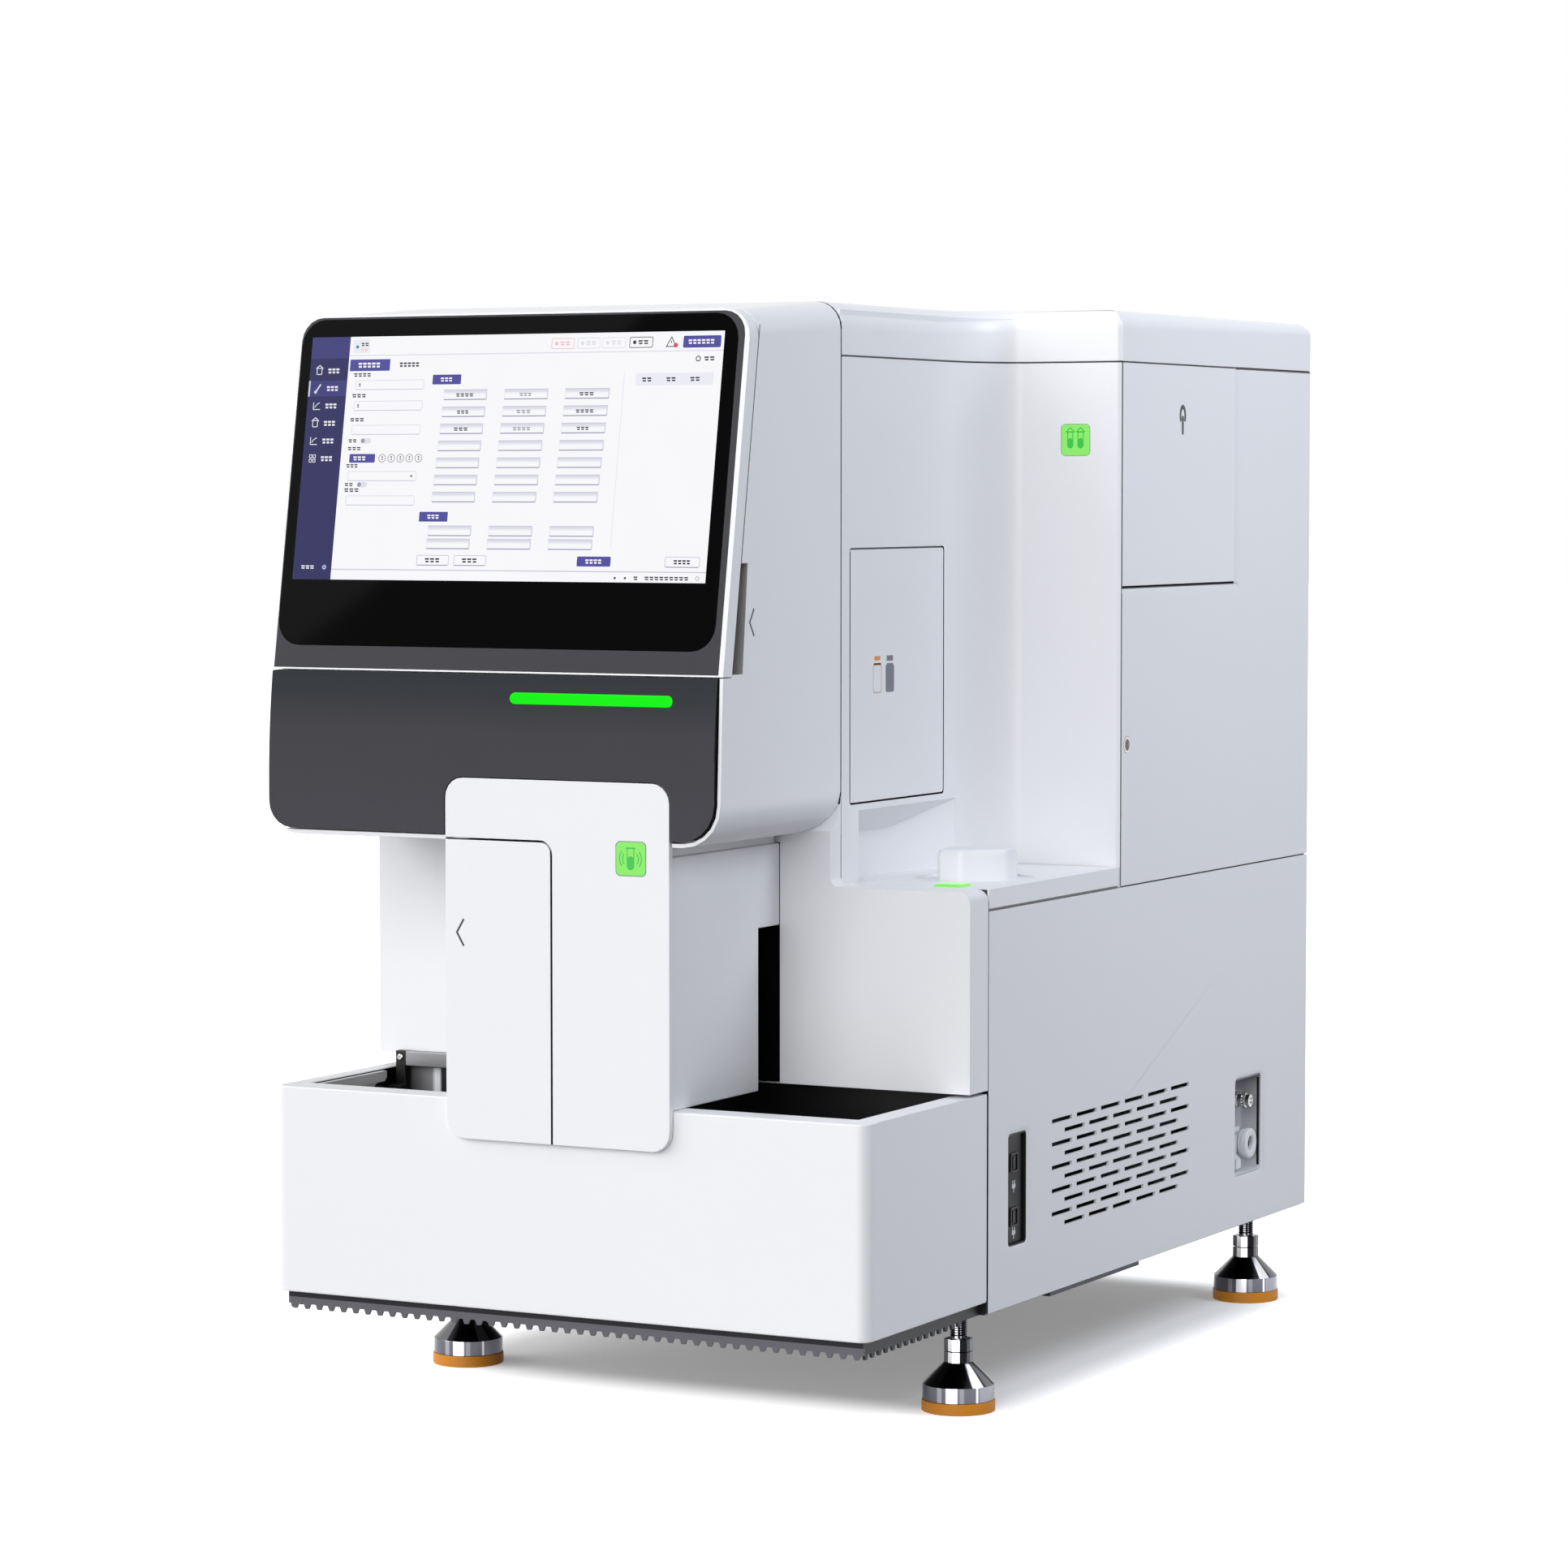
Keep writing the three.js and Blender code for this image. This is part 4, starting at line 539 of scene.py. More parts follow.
def smoothing_group():
    """A node group that shades faces smoothly, apart from edges that turn sharply."""
    group = bpy.data.node_groups.new("smooth_by_angle", "GeometryNodeTree")
    group.interface.new_socket("Geometry", in_out="INPUT", socket_type="NodeSocketGeometry")
    group.interface.new_socket("Geometry", in_out="OUTPUT", socket_type="NodeSocketGeometry")
    start = group.nodes.new("NodeGroupInput")
    end = group.nodes.new("NodeGroupOutput")
    all_smooth = group.nodes.new("GeometryNodeSetShadeSmooth")
    angle = group.nodes.new("GeometryNodeInputMeshEdgeAngle")
    sharp = group.nodes.new("FunctionNodeCompare")
    sharp.operation = "GREATER_THAN"
    sharp.inputs["B"].default_value = SMOOTH_ANGLE
    keep_sharp = group.nodes.new("GeometryNodeSetShadeSmooth")
    keep_sharp.domain = "EDGE"
    keep_sharp.inputs["Shade Smooth"].default_value = False
    link = group.links.new
    link(start.outputs[0], all_smooth.inputs["Geometry"])
    link(all_smooth.outputs["Geometry"], keep_sharp.inputs["Geometry"])
    link(angle.outputs["Unsigned Angle"], sharp.inputs["A"])
    link(sharp.outputs["Result"], keep_sharp.inputs["Selection"])
    link(keep_sharp.outputs["Geometry"], end.inputs[0])
    return group


SMOOTHING = smoothing_group()


def ease(obj, width, segments=2):
    """Rounds an object's edges without touching its mesh."""
    weld = obj.modifiers.new("weld", "WELD")
    weld.merge_threshold = 0.00001
    flat = obj.modifiers.new("flat", "DECIMATE")
    flat.decimate_type = "DISSOLVE"
    flat.angle_limit = math.radians(0.6)
    round_edges = obj.modifiers.new("round", "BEVEL")
    round_edges.width = width * MM
    round_edges.segments = segments
    round_edges.limit_method = "ANGLE"
    round_edges.angle_limit = EASE_ANGLE
    round_edges.use_clamp_overlap = True
    smooth = obj.modifiers.new("smooth", "NODES")
    smooth.node_group = SMOOTHING
    weigh = obj.modifiers.new("weigh", "WEIGHTED_NORMAL")
    weigh.keep_sharp = True


for finish_name, widths in LOOKS.items():
    for node_name, edge in widths.items():
        node = nodes[node_name]
        node.data.materials.clear()
        node.data.materials.append(FINISHES[finish_name])
        ease(node, edge)


# Small parts: flat plates, lines of even width and turned shapes, laid on faces of the machine
MITRE_LIMIT = 0.3


class Face:
    """A flat face: a corner to measure from, and the ways that are across, up and out."""

    def __init__(self, corner, across, up):
        self.corner = place(*corner)
        self.across = Vector(across).normalized()
        self.up = Vector(up).normalized()
        self.out = self.across.cross(self.up)

    def at(self, u, v, lift=0.0):
        return self.corner + (self.across * u + self.up * v + self.out * lift) * MM


def make(name, build, body, *finishes, slot=None):
    """Builds a mesh piece and lets it ride on a body."""
    shape = bmesh.new()
    build(shape)
    bmesh.ops.recalc_face_normals(shape, faces=shape.faces)
    mesh = bpy.data.meshes.new(name)
    shape.to_mesh(mesh)
    shape.free()
    for key in finishes:
        mesh.materials.append(FINISHES[key])
    made = bpy.data.objects.new(name, mesh)
    bpy.context.scene.collection.objects.link(made)
    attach(made, body)
    return made


def skin(shape, rings, paint=0, ends=True):
    """Joins rings of points with faces. One point alone is a tip. With ends, the outer two rings are filled."""
    sides = max(len(ring) for ring in rings)
    made = []
    for low, high in zip(rings, rings[1:]):
        for k in range(sides):
            j = (k + 1) % sides
            corners = (low[k % len(low)], low[j % len(low)], high[j % len(high)], high[k % len(high)])
            made.append(shape.faces.new(list(dict.fromkeys(corners))))
    if ends:
        made += [shape.faces.new(rings[0][::-1]), shape.faces.new(rings[-1])]
    for item in made:
        item.material_index = paint


def ring_on(shape, face, outline, lift):
    """The points of an outline, at a height over a face."""
    return [shape.verts.new(face.at(u, v, lift)) for u, v in outline]


def plate(shape, face, outline, lift, thick, paint=0):
    """A closed plate of the given outline."""
    skin(shape, [ring_on(shape, face, outline, lift), ring_on(shape, face, outline, lift + thick)], paint)


def strip(shape, face, points, width, lift, thick, closed=False, paint=0):
    """A flat line of even width along the points."""
    count = len(points)
    rings = []
    for i, point in enumerate(points):
        here = Vector(point)
        ways = []
        if closed or i > 0:
            ways.append((here - Vector(points[i - 1])).normalized())
        if closed or i < count - 1:
            ways.append((Vector(points[(i + 1) % count]) - here).normalized())
        along = sum(ways, Vector((0, 0))).normalized()
        aside = Vector((-along.y, along.x)) * width / 2 / max(along.dot(ways[0]), MITRE_LIMIT)
        left, right, top = here + aside, here - aside, lift + thick
        rings.append([shape.verts.new(face.at(p.x, p.y, h))
                      for p, h in ((left, lift), (right, lift), (right, top), (left, top))])
    skin(shape, rings + rings[:1] if closed else rings, paint, ends=not closed)


def arc(u, v, radius, start, end, steps=12):
    """Points along part of a circle, in degrees."""
    turns = [math.radians(start + (end - start) * k / steps) for k in range(steps + 1)]
    return [(u + radius * math.cos(turn), v + radius * math.sin(turn)) for turn in turns]


def turned(shape, face, u, v, profile, sides=32, paint=0):
    """A turned shape that stands on a face: profile lists (radius, height) from its foot to its tip."""
    circle = 360 * (sides - 1) / sides
    skin(shape, [ring_on(shape, face, arc(u, v, radius, 0, circle, sides - 1) if radius else [(u, v)], height)
                 for radius, height in profile], paint, ends=False)


def rounded(u0, v0, u1, v1, radius, steps=4):
    """The outline of a rectangle with round corners."""
    corners = ((u1 - radius, v1 - radius, 0), (u0 + radius, v1 - radius, 90),
               (u0 + radius, v0 + radius, 180), (u1 - radius, v0 + radius, 270))
    return [point for u, v, start in corners for point in arc(u, v, radius, start, start + 90, steps)]


def around(at, half_wide, half_high, radius, steps=4):
    """The outline of a rounded rectangle around a place."""
    return rounded(at[0] - half_wide, at[1] - half_high, at[0] + half_wide, at[1] + half_high, radius, steps)


# Display: a lit picture of bars and boxes on the cover glass
DISPLAY = {"left": -325.0, "bottom": 849.3, "wide": 480.0, "high": 250.0}
INK_LIFT = 0.06
INK_STEP = 0.05
UI_TONES = {
    "white": (0.945, 0.945, 0.97), "navy": (0.028, 0.026, 0.115), "row": (0.05, 0.048, 0.2),
    "indigo": (0.08, 0.073, 0.34), "faint": (0.84, 0.84, 0.9), "pale": (0.74, 0.74, 0.82),
    "tint": (0.62, 0.61, 0.75), "line": (0.3, 0.29, 0.46), "text": (0.03, 0.029, 0.055),
    "grey": (0.32, 0.32, 0.38), "red": (0.72, 0.07, 0.1), "pink": (0.85, 0.52, 0.56),
    "blue": (0.03, 0.22, 0.48),
}
FINISHES.update({name: glowing(f"ui_{name}", tone, 0.97, body=0.02, roughness=0.3, Specular_IOR_Level=0.1)
                 for name, tone in UI_TONES.items()})
PAINTS = list(UI_TONES)


def draw_display(shape):
    """Draws the picture in shares of the display, from its upper left corner."""
    wide, high = DISPLAY["wide"], DISPLAY["high"]
    top = DISPLAY["bottom"] + high * math.cos(SCREEN_LEAN)
    face_y = (top - SCREEN_BOTTOM) * math.tan(SCREEN_LEAN) - GLASS_PROUD
    face = Face((DISPLAY["left"], face_y, top), RIGHT, (0, math.sin(SCREEN_LEAN), math.cos(SCREEN_LEAN)))

    def area(outline, paint, layer):
        plate(shape, face, outline, INK_LIFT + layer * INK_STEP, INK_STEP, PAINTS.index(paint))

    def trace(points, width, paint, layer, closed=True):
        strip(shape, face, points, width, INK_LIFT + layer * INK_STEP, INK_STEP, closed, PAINTS.index(paint))

    def box(u0, v0, u1, v1, paint, layer, radius=0.01):
        area(rounded(u0 * wide, -v1 * high, u1 * wide, -v0 * high, radius), paint, layer)

    def frame_box(u0, v0, u1, v1, paint, layer, radius=1.4, width=0.8):
        trace(rounded(u0 * wide, -v1 * high, u1 * wide, -v0 * high, radius), width, paint, layer)

    def word(u, v, length, paint="text", layer=3, thick=0.013):
        """A short bar in place of a word, split into a few blocks with a gap across."""
        parts = max(1, round(length / 0.011))
        step = length / parts
        for k in range(parts):
            u0, u1 = u + step * k, u + step * (k + 0.78)
            box(u0, v - thick / 2, u1, v - thick * 0.12, paint, layer, 0.3)
            box(u0 + step * 0.12, v + thick * 0.12, u1, v + thick / 2, paint, layer, 0.3)

    def line(u0, v0, u1, v1, paint, layer, width=0.8):
        trace([(u0 * wide, -v0 * high), (u1 * wide, -v1 * high)], width, paint, layer, False)

    def dot(u, v, radius, paint, layer):
        area(arc(u * wide, -v * high, radius, 0, 345, 23), paint, layer)

    def circle(u, v, radius, paint, layer, width=0.7):
        trace(arc(u * wide, -v * high, radius, 0, 345, 23), width, paint, layer)

    def button(u, v, half_wide, half_high, label=0, paint="text"):
        """A white key with a tinted upper half and a darker foot."""
        left, right, top, foot = u - half_wide, u + half_wide, v - half_high, v + half_high
        box(left, top, right, foot, "faint", 1, 0.9)
        box(left, top, right, v - half_high * 0.35, "pale", 2, 0.8)
        box(left, top, right, v - half_high * 0.75, "tint", 3, 0.6)
        box(left + 0.002, v - half_high * 0.1, right - 0.002, foot - 0.003, "white", 3, 0.6)
        line(left + 0.001, foot, right, foot, "line", 3, 1.0)
        line(right, top, right, foot, "tint", 2, 1.0)
        if label:
            word(u - label / 2, v + half_high * 0.12, label, paint, 4)

    box(0, 0, 1, 1, "white", 0)
    # Side bar: an empty title cell, rows with icons, and the user's row
    box(0, 0, 0.096, 1, "navy", 1)
    box(0, 0.0, 0.096, 0.088, "row", 2)
    box(0, 0.18, 0.096, 0.245, "row", 2)
    box(0, 0.18, 0.004, 0.245, "tint", 3)
    for row, v in enumerate((0.14, 0.213, 0.285, 0.357, 0.43, 0.503)):
        if row in (0, 3):
            frame_box(0.018, v - 0.012, 0.03, v + 0.014, "faint", 3, 0.8, 0.8)
            line(0.015, v - 0.01, 0.024, v - 0.024, "faint", 3)
            line(0.024, v - 0.024, 0.033, v - 0.01, "faint", 3)
        elif row == 5:
            for left, top in ((0.017, v - 0.016), (0.017, v + 0.002), (0.026, v - 0.016), (0.026, v + 0.002)):
                frame_box(left, top, left + 0.006, top + 0.012, "faint", 3, 0.4, 0.7)
        elif row == 1:
            line(0.018, v + 0.016, 0.03, v - 0.018, "faint", 3, 1.4)
            circle(0.018, v + 0.014, 1.2, "faint", 3)
        else:
            line(0.016, v - 0.016, 0.016, v + 0.014, "faint", 3)
            line(0.016, v + 0.014, 0.033, v + 0.014, "faint", 3)
            line(0.019, v + 0.006, 0.024, v - 0.006, "faint", 3)
            line(0.024, v - 0.006, 0.031, v - 0.014, "faint", 3)
        word(0.046, v, 0.03, "faint", 3, 0.02)
    word(0.02, 0.95, 0.034, "faint", 3, 0.014)
    dot(0.078, 0.95, 3.2, "indigo", 3)
    circle(0.078, 0.95, 1.6, "faint", 4, 0.7)
    # Top bar
    line(0.096, 0.078, 1, 0.078, "pale", 1, 1.1)
    box(0.104, 0.01, 0.146, 0.068, "faint", 1, 1.5)
    dot(0.115, 0.042, 1.7, "blue", 3)
    word(0.124, 0.032, 0.02, "text", 3)
    word(0.124, 0.054, 0.018, "pink", 3, 0.01)
    for u, paint in ((0.62, "pink"), (0.682, "pale"), (0.742, "pale"), (0.806, "text")):
        frame_box(u - 0.027, 0.021, u + 0.027, 0.062, paint, 2, 1.2, 0.7)
        box(u - 0.019, 0.034, u - 0.012, 0.048, paint, 3, 0.5)
        word(u - 0.007, 0.041, 0.026, paint, 3, 0.016)
    peak = [(0.866 * wide, -0.06 * high), (0.888 * wide, -0.06 * high), (0.877 * wide, -0.022 * high)]
    trace(peak, 0.9, "text", 2)
    line(0.877, 0.036, 0.877, 0.047, "text", 2)
    dot(0.888, 0.055, 2.4, "red", 4)
    box(0.905, 0.018, 0.993, 0.066, "indigo", 2, 1.4)
    word(0.917, 0.042, 0.062, "white", 3, 0.018)
    # Heading row: tabs and settings
    box(0.10, 0.094, 0.2, 0.142, "indigo", 2, 0.6)
    word(0.121, 0.118, 0.056, "white", 3, 0.02)
    word(0.224, 0.118, 0.05, "text", 3, 0.018)
    circle(0.943, 0.11, 2.4, "text", 3, 1.0)
    word(0.957, 0.11, 0.026, "text", 3, 0.016)
    # Form on the left
    for v, name in ((0.20, 0.044), (0.286, 0.036), (0.385, 0.036), (0.575, 0.03), (0.675, 0.038)):
        frame_box(0.118, v - 0.019, 0.288, v + 0.019, "pale", 2, 1.2, 0.8)
        line(0.12, v + 0.019, 0.286, v + 0.019, "tint", 3, 0.9)
        word(0.112, v - 0.042, name, "text", 3, 0.014)
    word(0.126, 0.20, 0.006, "text", 3)
    word(0.126, 0.286, 0.006, "text", 3)
    dot(0.276, 0.575, 1.1, "text", 3)
    for v in (0.43, 0.61):
        word(0.112, v, 0.022, "text", 3, 0.013)
        box(0.143, v - 0.011, 0.168, v + 0.011, "pale", 2, 2.4)
        dot(0.148, v, 2.3, "grey", 3)
    word(0.112, 0.462, 0.034, "text", 3, 0.013)
    box(0.118, 0.484, 0.182, 0.52, "indigo", 2, 1.2)
    word(0.128, 0.502, 0.032, "white", 3, 0.016)
    for k in range(5):
        circle(0.2 + 0.0225 * k, 0.502, 4.0, "grey", 2, 0.8)
        word(0.1985 + 0.0225 * k, 0.502, 0.004, "text", 3, 0.016)
    # Two groups of keys
    box(0.309, 0.161, 0.379, 0.201, "indigo", 2, 0.8)
    word(0.329, 0.181, 0.03, "white", 3, 0.016)
    box(0.304, 0.721, 0.374, 0.761, "indigo", 2, 0.8)
    word(0.324, 0.741, 0.03, "white", 3, 0.016)
    rows = [0.243 + 0.0695 * i for i in range(7)] + [0.797, 0.85]
    for row, v in enumerate(rows):
        for column, u in enumerate((0.392, 0.54, 0.687)):
            label = (0.044, 0.03, 0.036)[(row + column) % 3] if row < 3 else 0
            button(u - 0.02 * (v - 0.24), v, 0.0525, 0.0205, label, "grey" if column == 1 else "text")
    # Table on the right
    line(0.772, 0.16, 0.772, 0.86, "faint", 1, 1.2)
    box(0.80, 0.165, 0.982, 0.215, "faint", 1, 0.6)
    for u in (0.815, 0.872, 0.928):
        word(u, 0.191, 0.024, "text", 3, 0.016)
    # Keys and status line along the foot
    foot_keys = ((0.307, 0.385, False), (0.398, 0.476, False), (0.695, 0.775, True), (0.903, 0.983, False))
    for u0, u1, filled in foot_keys:
        if filled:
            box(u0, 0.898, u1, 0.938, "indigo", 2, 1.2)
        else:
            frame_box(u0, 0.898, u1, 0.938, "tint", 2, 1.2, 0.8)
            line(u0 + 0.002, 0.938, u1 - 0.002, 0.938, "line", 3, 0.9)
        word(u0 + 0.02, 0.918, u1 - u0 - 0.04, "white" if filled else "text", 3, 0.017)
    line(0.096, 0.958, 1, 0.958, "tint", 1, 1.2)
    dot(0.788, 0.983, 1.2, "text", 3)
    dot(0.812, 0.983, 1.2, "text", 3)
    word(0.832, 0.983, 0.012, "text", 3, 0.014)
    word(0.858, 0.983, 0.104, "text", 3, 0.014)
    circle(0.981, 0.982, 1.9, "grey", 3, 0.6)


make("display_picture", draw_display, "screen", *UI_TONES, slot="screen_glass")

# Marks printed on the covers. The lights' places are x and z, and x and y for the lid's
MARK_LIFT = -0.12
MARK_THICK = 0.13
COLUMN_LIGHT_AT = (84, 579)
UPPER_LIGHT_AT = (287.2, 993.2)
LID_LIGHT_AT = (287, 297.5)
PULL_HALF = 13.5
HEAD_SIDE = Face((HEAD_RIGHT, 0, 0), BACK, UP)
RIGHT_SIDE = Face((HALF_WIDTH, 0, 0), BACK, UP)
DOOR_FRONT = Face((0, PANEL_FRONT, 0), RIGHT, UP)
LID_LIGHT = Face((*LID_LIGHT_AT, SHELF_TOP + 2.9), RIGHT, BACK)


def facing_front(at, y):
    """The face at y that looks to the front, measured from a place given by x and z."""
    return Face((at[0], y, at[1]), RIGHT, UP)


COLUMN_LIGHT = facing_front(COLUMN_LIGHT_AT, LIGHT_FACE)
UPPER_LIGHT = facing_front(UPPER_LIGHT_AT, WALL_FRONT - 0.6)


def ink_line(shape, face, points, width, closed=False):
    strip(shape, face, points, width, MARK_LIFT, MARK_THICK, closed)


def ink_area(shape, face, outline, paint=0):
    plate(shape, face, outline, MARK_LIFT, MARK_THICK, paint)


def chevron(face, u, v, reach, width):
    """Returns a builder of a pull mark with its tip at u, v."""
    points = [(u + reach, v + PULL_HALF), (u, v), (u + reach, v - PULL_HALF)]
    return lambda shape: ink_line(shape, face, points, width)


make("pull_mark_screen", chevron(HEAD_SIDE, 55, 810.5, 9, 2.6), "chassis", "mark")
make("pull_mark_column", chevron(DOOR_FRONT, -116, 498.5, 8, 2.2), "column_door", "mark")

# The two bottles on the bottle door
OPEN_BOTTLE = {"y": 334.2, "width": 18.5, "low": 731.5, "high": 761}
FULL_BOTTLE = {"y": 363.2, "width": 19.5, "low": 731, "high": 761}


def bottle_outline(y, width, low, high):
    """A bottle seen from the side: body, shoulders and neck."""
    half = width / 2
    neck = half * 0.66
    return [(y - half, low + 2), (y - half + 2, low), (y + half - 2, low), (y + half, low + 2),
            (y + half, high - 3), (y + neck, high), (y - neck, high), (y - half, high - 3)]


def draw_open_bottle(shape):
    """An empty bottle in outline, with a cap and a neck ring in orange."""
    ink_line(shape, HEAD_SIDE, bottle_outline(**OPEN_BOTTLE), 1.5, True)
    ink_area(shape, HEAD_SIDE, around((OPEN_BOTTLE["y"], 766.8), 6.8, 2.2, 0.8, 2), 1)
    ink_area(shape, HEAD_SIDE, around((OPEN_BOTTLE["y"], 760.7), 8.8, 1.1, 0.6, 2), 1)


def draw_full_bottle(shape):
    """A full bottle, with its cap set off by a gap."""
    ink_area(shape, HEAD_SIDE, bottle_outline(**FULL_BOTTLE))
    ink_area(shape, HEAD_SIDE, around((FULL_BOTTLE["y"], 766.2), 7.4, 2.8, 0.8, 2))


make("bottle_mark_open", draw_open_bottle, "bottle_door", "mark_beige", "mark_orange")
make("bottle_mark_full", draw_full_bottle, "bottle_door", "mark_grey")

# The press mark on the push-to-open door: y and z of the ring's middle
PRESS_AT = (764, 1021)


def draw_press_mark(shape):
    """A finger under an open ring, a usual sign for a place to press."""
    y, z = PRESS_AT
    turns = [math.radians(-42 + 264 * k / 24) for k in range(25)]
    ink_line(shape, RIGHT_SIDE, [(y + 6.6 * math.cos(turn), z + 9.4 * math.sin(turn)) for turn in turns], 5.0)
    ink_area(shape, RIGHT_SIDE, rounded(y - 2.8, z - 21, y + 2.8, z, 2.6))


make("press_mark", draw_press_mark, "push_door", "mark")


def draw_tube(shape, face, u, high, width):
    """A sample tube: outline, rim and a filled foot."""
    half, low, top = width / 2, -high / 2, high / 2
    ink_line(shape, face, [(u - half, top)] + arc(u, low + half, half, 180, 360, 8) + [(u + half, top)], 1.1)
    ink_line(shape, face, [(u - half - 1.6, top), (u + half + 1.6, top)], 1.5)
    ink_area(shape, face, rounded(u - half + 0.5, low + 0.5, u + half - 0.5, low + high * 0.62, 2.2))


def draw_column_sign(shape):
    """A tube with two arcs on each side."""
    draw_tube(shape, COLUMN_LIGHT, 0, 21, 7.5)
    for side, start in ((1, -38), (-1, 142)):
        for radius in (8.4, 11.8):
            ink_line(shape, COLUMN_LIGHT, arc(side * 0.5, 0, radius, start, start + 76, 8), 1.2)


def draw_upper_sign(shape):
    """Two tubes, each under a peak."""
    for u in (-6, 6):
        draw_tube(shape, UPPER_LIGHT, u, 17, 6)
        ink_line(shape, UPPER_LIGHT, [(u - 4.8, 8.6), (u, 13), (u + 4.8, 8.6)], 1.2)


def draw_lid_sign(shape):
    """Three packs side by side."""
    for u in (-7, 0, 7):
        ink_line(shape, LID_LIGHT, around((u, 0), 2.2, 4.5, 1.2, 3), 0.9, True)


make("light_sign_column", draw_column_sign, "chassis", "mark_green")
make("light_sign_upper", draw_upper_sign, "chassis", "mark_green")
make("light_sign_lid", draw_lid_sign, "reagent_lid", "mark_green")

# A lens over the shelf's flat light: (half its side, height) from its foot to its top
LENS_STEPS = ((15.5, -0.3), (15.5, 0.9), (15.0, 1.8), (13.5, 2.6), (10.0, 2.9))


def draw_lid_lens(shape):
    face = Face((*LID_LIGHT_AT, SHELF_TOP), RIGHT, BACK)
    skin(shape, [ring_on(shape, face, around((0, 0), half, half, 4.5, 5), level) for half, level in LENS_STEPS])


lid_lens = make("lid_light_lens", draw_lid_lens, "reagent_lid", "status", slot="status_green")
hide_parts("status_light_lid")

# A painted line of shade in the gap between the screen unit and the head
SEAM_FROM_SCREEN = 19.2
SEAM_LEVELS = (869, 950, 1030, 1102)
SEAM_POINTS = [((z - SCREEN_BOTTOM) * math.tan(SCREEN_LEAN) + SEAM_FROM_SCREEN, z) for z in SEAM_LEVELS]
make("screen_gap_shade", lambda s: ink_line(s, HEAD_SIDE, SEAM_POINTS, 1.3), "chassis", "mark")

# The top cap: its levels, its outline, and the radius of its upper edge at the rear, the front and the side
CAP = {"bottom": 1076.4, "lip": 1075.3, "top": 1131.0, "front": 252.9, "bend_from": 500.0, "bend_wide": 45.3,
       "wall": 4.0, "reveal": 1.4, "roof": 1123.0, "corner": 4.0, "ease": 0.8}
REAR_RADIUS, FRONT_RADIUS, SIDE_RADIUS = 14.0, 28.0, 20.0
CORNER_SHARE = 0.6
CAP_STEPS = 7
BEND_STEPS = 12


def cap_corners():
    """The cap's outline: each corner's x and y, how far an inset moves it along them, and its edge radius."""
    corners = [(-HALF_WIDTH, BODY_BACK, 1, -1, REAR_RADIUS), (-HALF_WIDTH, CAP["front"], 1, 0, FRONT_RADIUS),
               (HEAD_RIGHT, CAP["front"], -1, 0, FRONT_RADIUS)]
    for k in range(BEND_STEPS + 1):
        across, along = math.cos(math.pi / 2 * k / BEND_STEPS), math.sin(math.pi / 2 * k / BEND_STEPS)
        corners.append((HEAD_RIGHT + CAP["bend_wide"] * (1 - across),
                        CAP["bend_from"] + (WALL_FRONT - CAP["bend_from"]) * along, -across, along,
                        FRONT_RADIUS + (SIDE_RADIUS - FRONT_RADIUS) * k / BEND_STEPS))
    return corners + [(HALF_WIDTH - CAP["corner"], WALL_FRONT, -CORNER_SHARE, 1, SIDE_RADIUS),
                      (HALF_WIDTH, WALL_FRONT + CAP["corner"], -1, CORNER_SHARE, SIDE_RADIUS),
                      (HALF_WIDTH, BODY_BACK, -1, -1, REAR_RADIUS)]


def draw_cap(shape):
    """A closed shell: the hollow below, the lip, the outer wall, the rounded upper edge and the top."""
    def ring(inset, level, front_too=0):
        points = [(x + across * inset(radius), y + along * inset(radius), level(radius))
                  for x, y, across, along, radius in cap_corners()]
        points[1:3] = [(x, y + front_too, z) for x, y, z in points[1:3]]
        return [shape.verts.new(place(*point)) for point in points]

    def rounding(share):
        turn = math.pi / 2 * share
        return ring(lambda r: r * (1 - math.cos(turn)), lambda r: CAP["top"] - r * (1 - math.sin(turn)))

    rings = [ring(lambda r: CAP[inset], lambda r: CAP[level], CAP[inset])
             for inset, level in (("wall", "roof"), ("wall", "lip"), ("reveal", "lip"), ("reveal", "bottom"))]
    rings.append(ring(lambda r: CAP["ease"], lambda r: CAP["bottom"]))
    rings.append(ring(lambda r: 0, lambda r: CAP["bottom"] + CAP["ease"]))
    skin(shape, rings + [rounding(k / CAP_STEPS) for k in range(CAP_STEPS + 1)])


cap = make("top_cap_shell", draw_cap, "chassis", "cover", slot="cover_plastic")
ease(cap, 0.6)
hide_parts("top_cap")

# A thin grey edge around the square lights
LIGHT_HALF = 16.5


def draw_light_edge(face, width=0.7):
    """Returns a builder of a thin rounded ring around a light."""
    outline = around((0, 0), LIGHT_HALF + 0.4, LIGHT_HALF + 0.4, 5, 6)
    return lambda shape: strip(shape, face, outline, width, MARK_LIFT, MARK_THICK - 0.01, True)


make("light_edge_column", draw_light_edge(facing_front(COLUMN_LIGHT_AT, PANEL_FRONT)), "chassis", "mark_grey")
make("light_edge_upper", draw_light_edge(facing_front(UPPER_LIGHT_AT, WALL_FRONT)), "chassis", "mark_grey")

